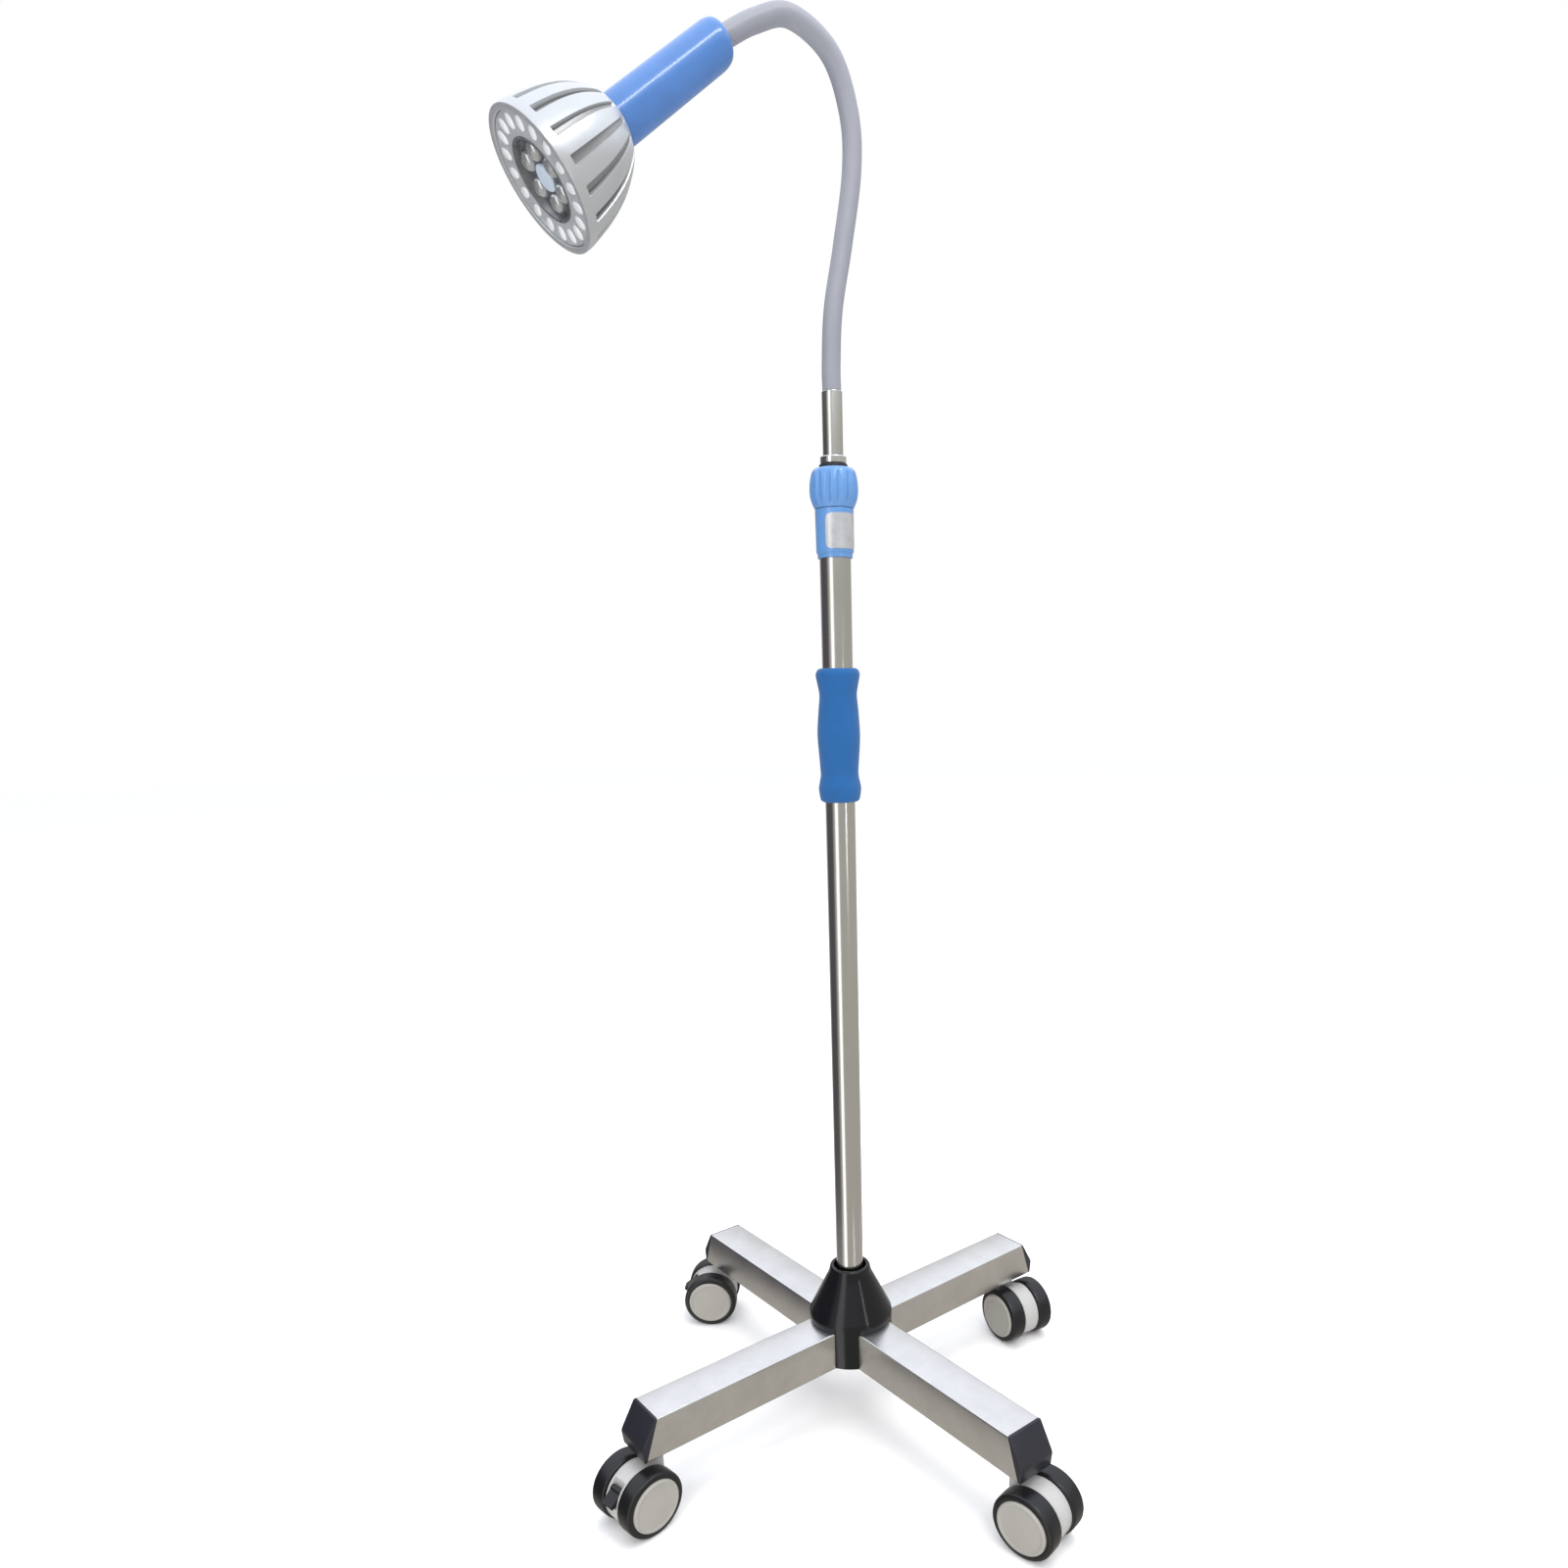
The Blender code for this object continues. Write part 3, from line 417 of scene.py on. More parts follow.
# ---------------------------------------------------------------- places
pole_low, pole_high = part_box("outer_pole")
POLE = Matrix.Translation(((pole_low.x + pole_high.x) / 2, (pole_low.y + pole_high.y) / 2, 0))
FACE = Vector(JOINTS["lamp_unscrew"]["pos_m"])
LIGHT = Vector(JOINTS["lamp_unscrew"]["axis"]).normalized()


def axes(x, y, z, origin):
    made = Matrix((x, y, z)).transposed().to_4x4()
    made.translation = origin
    return made


side_axis = Vector((0, 0, 1)).cross(LIGHT).normalized()
HEAD = axes(side_axis.cross(LIGHT), side_axis, LIGHT, FACE)
HEAD_AZIMUTH = math.atan2(LIGHT.y, LIGHT.x)
NECK_PLANE = POLE @ Matrix.Rotation(HEAD_AZIMUTH, 4, "Z")


def castor_axes(position):
    """X is the castor's trail, Z is up, and the origin is on the floor under the swivel."""
    swivel = Vector(JOINTS[f"swivel_{position}"]["pos_m"])
    axle = Vector(JOINTS[f"spin_{position}_1"]["pos_m"])
    swivel.z = 0
    trail = Vector((axle.x - swivel.x, axle.y - swivel.y, 0))
    x = trail.normalized()
    up = Vector((0, 0, 1))
    return axes(x, up.cross(x), up, swivel), trail.length


# ---------------------------------------------------------------- base
def make_leg(position, azimuth):
    place = POLE @ Matrix.Rotation(math.radians(azimuth), 4, "Z")
    half = LEG_SIDE / 2
    inside = half - LEG_WALL
    start = half + GAP
    stations = (start, start + 0.004, LEG_REACH * 0.5, LEG_REACH - 0.004, LEG_REACH)
    slants = {x: LEG_SLANT if x > LEG_REACH * 0.6 else 0 for x in stations}
    outer = [square(half, LEG_CORNER, x, slants[x]) for x in stations]
    inner = [square(inside, LEG_CORNER - 0.001, x, slants[x]) for x in reversed(stations)]
    leg = skin(f"tube_leg_{position}", outer + inner, LEG_STEEL, loop=True, sharp=25)
    put(leg, "base", "stainless", f"leg_{position}", matrix=place)
    make_end_cap(position, place)


def make_end_cap(position, place):
    """A wedge with a horizontal ridge below its middle, over a plug inside the tube."""
    begin, half = LEG_REACH + GAP, LEG_SIDE / 2
    inside = half - LEG_WALL
    ridge = LEG_TOP - CAP_RIDGE_DROP
    side = [
        (begin, LEG_BOTTOM, 0.0004),
        (begin + CAP_PLATE, LEG_BOTTOM, 0.0016),
        (begin + CAP_RIDGE, ridge, 0.0030),
        (begin + CAP_PLATE, LEG_TOP, 0.0016),
        (begin, LEG_TOP, 0.0004),
    ]
    outline = rounded(side, closed=True)
    rings = []
    for across_y, pull in ((-half, 0.0012), (-half + 0.0003, 0.0005), (-half + 0.0012, 0.0)):
        rings.append((across_y, pull))
    rings += [(-y, pull) for y, pull in reversed(rings)]
    middle = Vector((begin + 0.003, (LEG_TOP + LEG_BOTTOM) / 2))
    loops = []
    for y, pull in rings:
        loop = []
        for point in outline:
            inward = (middle - point).normalized() * pull
            x, z = point.x + inward.x, point.y + inward.y
            loop.append(Vector((max(begin, x) + LEG_SLANT * (LEG_TOP - z) / LEG_SIDE, y, z)))
        loops.append(loop)
    cap = skin(f"leg_cap_{position}", loops, CAP_BLACK, sharp=32)
    plug = [square(inside - GAP, 0.0013, begin + x, LEG_SLANT) for x in (-CAP_PLUG, CAP_PLATE / 2)]
    combine(cap, skin("plug", plug, CAP_BLACK), "UNION")
    shade(cap, 32)
    put(cap, "base", "black_plastic", f"end_cap_{position}", matrix=place)


def make_cone():
    """The shroud: an open mouth round the pole, a rounded shoulder, and a skirt of four prongs."""
    top = LEG_TOP + GAP
    prong = LEG_BOTTOM + 0.0015
    wall = 0.003
    bore = POLE_RADIUS + 0.0030
    cone = turned(
        "shroud_cone",
        [
            (bore, CONE_TOP - 0.006, 0.001),
            (bore + 0.0006, CONE_TOP, 0.0012),
            (CONE_TOP_RADIUS, CONE_TOP, 0.0028),
            (CONE_TOP_RADIUS + 0.002, CONE_TOP - 0.010, 0.004),
            (CONE_RADIUS - 0.003, top + 0.014, 0.006),
            (CONE_RADIUS, top + 0.008, 0.003),
            (CONE_RADIUS, prong, 0.0012),
            (CONE_RADIUS - wall, prong, 0.0008),
            (CONE_RADIUS - wall - 0.001, top + 0.006, 0.002),
            (CONE_RADIUS - 2 * wall, top + 0.012, 0.003),
            (CONE_TOP_RADIUS - wall, CONE_TOP - 0.010, 0.002),
        ],
        BLACK_GLOSS,
        loop=True,
        columns=160,
    )
    side = LEG_SIDE / 2 + GAP
    for name, reach_x, reach_y in (("cross_x", 0.1, side), ("cross_y", side, 0.1)):
        slot = block(name, (-reach_x, -reach_y, LEG_BOTTOM - 0.02), (reach_x, reach_y, top), BLACK_GLOSS)
        combine(cone, slot)
    soften(cone, 0.0012)
    put(cone, "base", "black_plastic", "cone_cover", matrix=POLE)


# ---------------------------------------------------------------- pole and collar
def make_pole():
    pole = turned(
        "main_pole",
        [
            (POLE_BORE, LEG_TOP + GAP),
            (POLE_RADIUS, LEG_TOP + GAP),
            (POLE_RADIUS, INLET_HEIGHT - 0.010),
            (POLE_RADIUS, INLET_HEIGHT + 0.010),
            (POLE_RADIUS, POLE_TOP, 0.0006),
            (POLE_BORE, POLE_TOP, 0.0004),
            (POLE_BORE, INLET_HEIGHT + 0.010),
            (POLE_BORE, INLET_HEIGHT - 0.010),
        ],
        TUBE_STEEL,
        loop=True,
        columns=128,
    )
    outward = Euler((math.pi / 2, 0, INLET_AZIMUTH + math.pi / 2)).to_matrix().to_4x4()
    inlet = Matrix.Translation((0, 0, INLET_HEIGHT)) @ outward
    hole = [(0, 0.012), (INLET_RADIUS, 0.012), (INLET_RADIUS, 0.022), (0, 0.022)]
    drill = turned("drill", hole, TUBE_STEEL, columns=32)
    drill.data.transform(inlet)
    combine(pole, drill)
    shade(pole)
    put(pole, "base", "stainless", "outer_pole", matrix=POLE)
    grommet = turned(
        "inlet_grommet",
        [
            (0.0035, POLE_RADIUS + 0.004, 0.0006),
            (0.0065, POLE_RADIUS + 0.004, 0.0012),
            (0.0085, POLE_RADIUS + 0.002, 0.0012),
            (0.0085, POLE_RADIUS + GAP),
            (INLET_RADIUS - GAP, POLE_RADIUS + GAP),
            (INLET_RADIUS - GAP, POLE_BORE + GAP),
            (0.0035, POLE_BORE + GAP),
        ],
        GASKET_BLACK,
        loop=True,
        columns=48,
    )
    put(grommet, "base", "black_rubber", "cable_grommet", matrix=POLE @ inlet)


def make_grip():
    """The foam grip: flared ends with rounded lips, and a barrel that swells between two waists."""
    radii = (
        (0.0, 0.0190),
        (0.0015, 0.0212),
        (0.004, 0.0224),
        (0.0145, 0.0238),
        (0.022, 0.0226),
        (0.0305, 0.0212),
        (0.045, 0.0220),
        (0.073, 0.0237),
        (0.098, 0.0222),
        (0.1155, 0.0207),
        (0.126, 0.0222),
        (0.137, 0.0242),
        (0.1415, 0.0230),
        (0.1432, 0.0215),
        (GRIP_TOP - GRIP_BOTTOM, 0.0195),
    )
    outline = through([Vector((radius, GRIP_BOTTOM + up)) for up, radius in radii], 6)
    rings, columns = [], 96
    for point in outline:
        row = ring(point.x, point.y, columns)
        for index, corner in enumerate(row):
            turn = index * math.tau / columns
            swell = math.sin(3 * turn + 40 * point.y) * math.sin(2 * turn - 95 * point.y)
            corner.xy *= 1 + 0.006 * swell
        rings.append(row)
    bore = POLE_RADIUS + GAP
    rings += [ring(bore, height, columns) for height in (GRIP_TOP - 0.0004, GRIP_BOTTOM + 0.0004)]
    grip = skin("foam_grip", rings, FOAM_BLUE, loop=True)
    put(grip, "base", "grip_foam", "hand_grip", matrix=POLE)


def make_collar():
    thread = 0.0186
    seat = POLE_TOP + GAP
    sleeve = turned(
        "lock_sleeve",
        [
            (thread, NUT_BOTTOM + 0.027),
            (thread, NUT_BOTTOM),
            (0.0205, NUT_BOTTOM - GAP, 0.0008),
            (0.0200, COLLAR_BOTTOM + 0.0055, 0.0010),
            (0.0187, COLLAR_BOTTOM + 0.0045, 0.0006),
            (0.0187, COLLAR_BOTTOM, 0.0008),
            (POLE_RADIUS + GAP, COLLAR_BOTTOM, 0.0003),
            (POLE_RADIUS + GAP, seat),
            (0.0135, seat),
            (0.0135, seat + 0.008),
            (0.0165, NUT_BOTTOM + 0.027),
        ],
        PALE_BLUE,
        loop=True,
        columns=112,
    )
    put(sleeve, "base", "pale_blue", "collar_sleeve", matrix=POLE)
    make_label()
    make_nut(thread)
    wiper = turned(
        "wiper_seal",
        [
            (0.0150, NUT_TOP + 0.0042, 0.0010),
            (0.0150, NUT_TOP + GAP, 0.0004),
            (TUBE_RADIUS + GAP, NUT_TOP + GAP),
            (TUBE_RADIUS + GAP, NUT_TOP + 0.0042, 0.0006),
        ],
        GASKET_BLACK,
        loop=True,
    )
    put(wiper, "nut", "black_rubber", "wiper_ring", matrix=POLE)


def make_label():
    """A plain silver sticker round the sleeve's front, with rounded corners and nothing on it."""
    low, high, start, end = 1.0500, 1.0850, math.radians(203), math.radians(321)
    rows, columns, corner = 28, 40, 0.0065
    outside, inside = 0.02055, 0.0190
    grid = []
    for row in range(rows + 1):
        up = low + (high - low) * row / rows
        near_end = max(0.0, corner - min(up - low, high - up))
        pull = corner - math.sqrt(max(0.0, corner**2 - near_end**2))
        first = start + pull / outside
        last = end - pull / outside
        grid.append([(first + (last - first) * column / columns, up) for column in range(columns + 1)])
    shape = bmesh.new()
    sheets = []
    for radius in (outside, inside):
        places = [[(radius * math.cos(a), radius * math.sin(a), z) for a, z in line] for line in grid]
        sheets.append([[shape.verts.new(place) for place in line] for line in places])
    front, back = sheets
    for i in range(rows):
        for j in range(columns):
            shape.faces.new((front[i][j], front[i][j + 1], front[i + 1][j + 1], front[i + 1][j]))
            shape.faces.new((back[i][j], back[i + 1][j], back[i + 1][j + 1], back[i][j + 1]))
    for j in range(columns):
        shape.faces.new((front[0][j], back[0][j], back[0][j + 1], front[0][j + 1]))
        shape.faces.new((front[-1][j], front[-1][j + 1], back[-1][j + 1], back[-1][j]))
    for i in range(rows):
        shape.faces.new((front[i][0], front[i + 1][0], back[i + 1][0], back[i][0]))
        shape.faces.new((front[i][-1], back[i][-1], back[i + 1][-1], front[i + 1][-1]))
    label = finished("sleeve_label", shape, LABEL_SILVER)
    put(label, "base", "bright_steel", matrix=POLE)


def make_nut(thread):
    """The twist nut: soft flutes that fade out at its shoulders, and a recessed lip round the tube."""
    outline = through(
        [
            Vector((0.0206, NUT_TOP - 0.0004)),
            Vector((0.0230, NUT_TOP - 0.0034)),
            Vector((0.0249, NUT_TOP - 0.0100)),
            Vector((NUT_RADIUS, NUT_TOP - 0.0175)),
            Vector((NUT_RADIUS - 0.0002, NUT_TOP - 0.0260)),
            Vector((0.0236, NUT_BOTTOM + 0.0062)),
            Vector((0.0213, NUT_BOTTOM + 0.0012)),
        ],
        7,
    )
    columns = NUT_FLUTES * 16
    rings = []
    for point in outline:
        below, above = point.y - NUT_BOTTOM, NUT_TOP - point.y
        fade = smooth_step(below / 0.009) * smooth_step((above - 0.002) / 0.009)
        row = []
        for column in range(columns):
            turn = column * math.tau / columns
            crease = (0.5 - 0.5 * math.cos(NUT_FLUTES * turn)) ** 3
            radius = point.x - 0.0021 * fade * crease
            row.append(Vector((radius * math.cos(turn), radius * math.sin(turn), point.y)))
        rings.append(row)
    inner = rounded(
        [
            (0.0206, NUT_BOTTOM + GAP),
            (thread + 2 * GAP, NUT_BOTTOM + GAP, 0.0003),
            (thread + 2 * GAP, NUT_BOTTOM + 0.032),
            (TUBE_RADIUS + 2 * GAP, NUT_BOTTOM + 0.033),
            (TUBE_RADIUS + 2 * GAP, NUT_TOP - 0.0022),
            (0.0162, NUT_TOP - 0.0022, 0.0004),
            (0.0166, NUT_TOP, 0.0006),
            (0.0196, NUT_TOP),
        ]
    )
    rings += [ring(point.x, point.y, columns) for point in inner]
    nut = skin("lock_nut", rings, PALE_BLUE, loop=True, sharp=45)
    put(nut, "nut", "pale_blue", "twist_nut", matrix=POLE)


def smooth_step(value):
    value = min(1.0, max(0.0, value))
    return value * value * (3 - 2 * value)


def make_inner_tube():
    tube = turned(
        "telescopic_tube",
        [
            (TUBE_RADIUS, TUBE_TOP, 0.0008),
            (TUBE_RADIUS, TUBE_BOTTOM, 0.0004),
            (TUBE_BORE, TUBE_BOTTOM),
            (TUBE_BORE, TUBE_TOP),
        ],
        TUBE_STEEL,
        loop=True,
    )
    put(tube, "mast", "stainless", "inner_tube", matrix=POLE)
    bottom = NUT_TOP + 0.0047
    stop = turned(
        "stop_band",
        [
            (0.0137, bottom + 0.0070, 0.0010),
            (0.0137, bottom, 0.0010),
            (TUBE_RADIUS + GAP, bottom),
            (TUBE_RADIUS + GAP, bottom + 0.0070),
        ],
        BRIGHT_STEEL,
        loop=True,
    )
    put(stop, "mast", "bright_steel", "stop_ring", matrix=POLE)


# ---------------------------------------------------------------- castors
def make_wheel(position, number, side):
    """A tyre with rounded shoulders round a disc with a raised rim and a shallow dish."""
    place = castor_axes(position)[0]
    spin = JOINTS[f"spin_{position}_{number}"]
    out = place.col[1].to_3d() * side
    along = place.col[0].to_3d()
    wheel = axes(along, out.cross(along), out, Vector(spin["pos_m"]))
    inner = HUB_RADIUS + GAP
    tyre = turned(
        f"wheel_tyre_{position}_{number}",
        [
            (inner, TYRE_OUTER - 0.0002, 0.0004),
            (inner + 0.0016, TYRE_OUTER, 0.0006),
            (WHEEL_RADIUS - 0.0002, TYRE_OUTER - 0.0004, 0.0036),
            (WHEEL_RADIUS, (TYRE_OUTER + TYRE_INNER) / 2 + 0.001),
            (WHEEL_RADIUS, (TYRE_OUTER + TYRE_INNER) / 2 - 0.001),
            (WHEEL_RADIUS - 0.0002, TYRE_INNER + 0.0004, 0.0036),
            (inner + 0.0016, TYRE_INNER, 0.0006),
            (inner, TYRE_INNER + 0.0002, 0.0004),
        ],
        TYRE_BLACK,
        loop=True,
    )
    put(tyre, f"wheel_{position}_{number}", "tyre", f"tyre_{position}_{number}", matrix=wheel)
    bore = 0.0053
    disc = turned(
        f"wheel_disc_{position}_{number}",
        [
            (0.0, HUB_OUTER - 0.0006),
            (0.0060, HUB_OUTER - 0.0007),
            (HUB_RADIUS - 0.0052, HUB_OUTER - 0.0013, 0.0020),
            (HUB_RADIUS - 0.0034, HUB_OUTER - 0.0001, 0.0010),
            (HUB_RADIUS - 0.0014, HUB_OUTER - 0.0004, 0.0010),
            (HUB_RADIUS, HUB_OUTER - 0.0020, 0.0006),
            (HUB_RADIUS, TYRE_INNER + 0.001, 0.0006),
            (0.024, TYRE_INNER),
            (bore, TYRE_INNER - 0.0003),
            (bore, HUB_OUTER - 0.004),
            (0.0, HUB_OUTER - 0.004),
        ],
        HUB_GREY,
    )
    put(disc, f"wheel_{position}_{number}", "hub_grey", f"hub_{position}_{number}", matrix=wheel)


def make_housing(position):
    """The round fork body between the wheels, its boss under the stem, and a slot where there is a brake."""
    place, trail = castor_axes(position)
    radius, half = HOUSING_RADIUS, HOUSING_HALF
    drum = [(0, half), (radius, half), (radius, -half), (0, -half)]
    body = turned(f"castor_body_{position}", drum, HOUSING_WHITE, columns=80)
    body.data.transform(Matrix.Translation((trail, 0, WHEEL_RADIUS)) @ Matrix.Rotation(math.pi / 2, 4, "X"))
    boss = turned(
        "boss",
        [
            (0.0, HOUSING_TOP),
            (0.0125, HOUSING_TOP, 0.0010),
            (0.0125, HOUSING_TOP - 0.0035, 0.0010),
            (0.0098, HOUSING_TOP - 0.0065, 0.0020),
            (0.0098, 0.047),
            (0.0, 0.047),
        ],
        HOUSING_WHITE,
        columns=48,
    )
    combine(body, boss, "UNION")
    if position in BRAKED:
        pivot = Matrix.Translation((trail + PEDAL_REACH, 0, WHEEL_RADIUS + PEDAL_RISE))
        slot = block("slot", (-0.0050, -0.0092, -0.0150), (0.0250, 0.0092, 0.0150), HOUSING_WHITE)
        slot.data.transform(pivot)
        combine(body, slot)
    soften(body, 0.0010, segments=2)
    put(body, f"castor_{position}", "white_plastic", f"castor_housing_{position}", matrix=place)


def make_stem(position):
    """The swivel stem under a leg, with its nut inside it."""
    place = castor_axes(position)[0]
    stem = turned(
        f"swivel_stem_{position}",
        [
            (0.0, LEG_BOTTOM + 0.020),
            (0.006, LEG_BOTTOM + 0.019),
            (0.006, LEG_BOTTOM + 0.010),
            (0.0088, LEG_BOTTOM + 0.010),
            (0.0088, LEG_BOTTOM + LEG_WALL + GAP),
            (0.006, LEG_BOTTOM + LEG_WALL + GAP),
            (0.006, LEG_BOTTOM - GAP),
            (0.0130, LEG_BOTTOM - GAP, 0.0006),
            (0.0130, HOUSING_TOP + GAP, 0.0006),
            (0.005, HOUSING_TOP + GAP),
            (0.005, 0.0535),
            (0.0, 0.0535),
        ],
        BRIGHT_STEEL,
        columns=48,
    )
    put(stem, "base", "bright_steel", f"castor_stem_{position}", matrix=place)


# ---------------------------------------------------------------- gooseneck
def neck_points():
    """The centreline in the head's plane, from the tube's end into the handle."""
    local_face = NECK_PLANE.inverted() @ FACE
    tilt = math.asin(-LIGHT.z)
    forward = Vector((math.cos(tilt), 0, -math.sin(tilt)))
    points = [Vector((reach, 0, TUBE_TOP + up)) for reach, up in NECK_ROUTE]
    points += [local_face - forward * HANDLE_BACK, local_face - forward * (HANDLE_BACK - 0.022)]
    return through(points)


def make_neck():
    """The sheath in five lengths along the bent route, cut halfway between the joints so that each has a
    joint near its middle.
    """
    route = neck_points()
    lengths = [0.0]
    for a, b in zip(route, route[1:]):
        lengths.append(lengths[-1] + (b - a).length)

    def at(where):
        for index, (low, high) in enumerate(zip(lengths, lengths[1:])):
            if where <= high:
                share = (where - low) / (high - low)
                step = route[index + 1] - route[index]
                return route[index].lerp(route[index + 1], share), step.normalized()
        return route[-1], (route[-1] - route[-2]).normalized()

    middles = [(a + b) / 2 for a, b in zip(NECK_JOINTS, NECK_JOINTS[1:])]
    cuts = [GAP, *middles, lengths[-1]]
    sideways = Vector((0, 1, 0))
    columns, spacing = 40, 0.0028
    turns = [i * math.tau / columns for i in range(columns)]
    for index, (begin, end) in enumerate(zip(cuts, cuts[1:])):
        count = round((end - begin) / spacing)
        rings = []
        for step in range(count + 1):
            centre, forward = at(begin + (end - begin) * step / count)
            normal = sideways.cross(forward)
            spokes = [normal * math.cos(a) + sideways * math.sin(a) for a in turns]
            rings.append([centre + spoke * NECK_RADIUS for spoke in spokes])
        piece = skin(f"neck_sheath_{index}", rings, NECK_GREY, sharp=60)
        piece.data.transform(NECK_PLANE)
        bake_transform(piece)
        replaced = [f"neck_link_{index}"] + (["neck_link_5"] if index == 4 else [])
        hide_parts(*replaced)


# ---------------------------------------------------------------- head
def make_handle():
    front, back = -HANDLE_FRONT, -HANDLE_BACK
    wall = 0.0022
    handle = turned(
        "lamp_handle",
        [
            (HANDLE_FRONT_RADIUS, front, 0.0008),
            (HANDLE_BACK_RADIUS, back + 0.0100, 0.0060),
            (HANDLE_BACK_RADIUS - 0.0024, back + 0.0022, 0.0040),
            (HANDLE_BACK_RADIUS - 0.0090, back, 0.0030),
            (NECK_RADIUS + 2 * GAP, back, 0.0006),
            (NECK_RADIUS + 2 * GAP, back + 0.004),
            (HANDLE_BACK_RADIUS - wall - 0.0024, back + 0.007),
            (HANDLE_FRONT_RADIUS - wall, front),
        ],
        HANDLE_BLUE,
        loop=True,
        columns=112,
    )
    put(handle, "head", "pale_blue", "handle_sleeve", matrix=HEAD)


def bell_radius(outline, behind):
    for a, b in zip(outline, outline[1:]):
        if behind <= b.x:
            return a.y + (b.y - a.y) * (behind - a.x) / (b.x - a.x)
    return outline[-1].y


def make_bell():
    """The heat sink: sixteen square-ended grooves between ribs, a plain rim band and a plain collar."""
    size = FACE_RADIUS
    outline = through([Vector((behind * size, share * size)) for behind, share in BELL_OUTLINE], 8)
    outline.append(Vector((BELL_LENGTH - 0.0006, 0.0243)))
    groove_start, groove_end = 0.0094, 0.0850
    half_width, narrowing = 0.0040, 0.0019
    front_depth, shallowing = 0.0056, 0.0026
    period = math.tau / FIN_COUNT
    across_groove = ((0.0, 1.0), (0.55, 1.0), (0.80, 0.97), (0.92, 0.62), (1.0, 0.14), (1.10, 0.0))
    behinds = [0.0050, groove_start - 0.0004]
    behinds += [groove_start + step for step in (0, 0.0004, 0.0008, 0.0012, 0.0018)]
    inset, count = 0.0036, 42
    run = groove_end - groove_start - 2 * inset
    behinds += [groove_start + inset + run * step / count for step in range(count + 1)]
    behinds += [groove_end - 0.0024, groove_end - 0.0012, groove_end, groove_end + 0.0006]
    behinds += [groove_end + 0.0024, groove_end + 0.0044, BELL_LENGTH - 0.0010]

    def groove_row(behind, radius, depth):
        share = min(1.0, max(0.0, (behind - groove_start) / (groove_end - groove_start)))
        half = (half_width - narrowing * share) / radius
        offsets = [(half * u, d) for u, d in across_groove]
        edge = offsets[-1][0]
        offsets += [(edge + (period / 2 - edge) * t, 0.0) for t in (0.25, 0.5, 0.75)]
        row = []
        for index in range(FIN_COUNT):
            middle = (index + 0.5) * period
            turns = [(middle - offset, d) for offset, d in reversed(offsets[1:])]
            turns += [(middle + offset, d) for offset, d in offsets]
            turns.append((middle + period / 2, 0.0))
            for turn, d in turns:
                r = radius - depth * d
                row.append(Vector((r * math.cos(turn), r * math.sin(turn), -behind)))
        return row

    rings = []
    cavity, cavity_depth = size - 0.0058, 0.0122
    rim = [(cavity, -cavity_depth), (cavity, 0.0, 0.0010), (size, 0.0, 0.0016), (size, -0.0016)]
    front = rounded(rim)
    rings.append([Vector((0, 0, -cavity_depth))])
    for point in front:
        rings.append(groove_row(-point.y, point.x, 0.0))
    for behind in behinds:
        fade = smooth_step((behind - groove_start) / 0.0015) * smooth_step((groove_end - behind) / 0.0030)
        share = min(1.0, max(0.0, (behind - groove_start) / (groove_end - groove_start)))
        depth = (front_depth - shallowing * share) * fade
        rings.append(groove_row(behind, bell_radius(outline, behind), depth))
    rings.append(groove_row(BELL_LENGTH, 0.0232, 0.0))
    rings.append([Vector((0, 0, -BELL_LENGTH))])
    bell = skin("lamp_bell", rings, BELL_SILVER, sharp=42)
    # Faces deep in the grooves get the darker grey: painted shade inside the grooves.
    bell.data.materials.append(GROOVE_PAINTED_SHADE)
    for face in bell.data.polygons:
        behind = -face.center.z
        inside = groove_start < behind < groove_end and face.center.xy.length > 0.02
        if inside and bell_radius(outline, behind) - face.center.xy.length > 0.0022:
            face.material_index = 1
    put(bell, "lamp", "silver_aluminium", "heat_sink", matrix=HEAD)


def dome(shape, centre, along, sideways, long_half, wide_half, height):
    """Adds a closed half ellipsoid with a flat underside, in rows from its rim to its top."""
    rows, columns = 7, 28
    up = Vector((0, 0, 1))
    rings = []
    for row in range(rows):
        rise = row / rows * math.pi / 2
        ring_points = []
        for column in range(columns):
            turn = column * math.tau / columns
            offset = along * (long_half * math.cos(turn)) + sideways * (wide_half * math.sin(turn))
            point = centre + offset * math.cos(rise) + up * (height * math.sin(rise))
            ring_points.append(shape.verts.new(point))
        rings.append(ring_points)
    top = shape.verts.new(centre + up * height)
    shape.faces.new(rings[0])
    for lower, upper in zip(rings, rings[1:]):
        for i in range(columns):
            j = (i + 1) % columns
            shape.faces.new((lower[i], lower[j], upper[j], upper[i]))
    for i in range(columns):
        shape.faces.new((rings[-1][i], rings[-1][(i + 1) % columns], top))


def dome_ring(name, material, count, offset, reach, height, size):
    """A ring of equal lenses, each a closed dome. size is its half length, half width and height."""
    shape = bmesh.new()
    for index in range(count):
        turn = (index + offset) * math.tau / count
        along = Vector((math.cos(turn), math.sin(turn), 0))
        dome(shape, along * reach + Vector((0, 0, height)), along, Vector((-along.y, along.x, 0)), *size)
    return finished(name, shape, material)


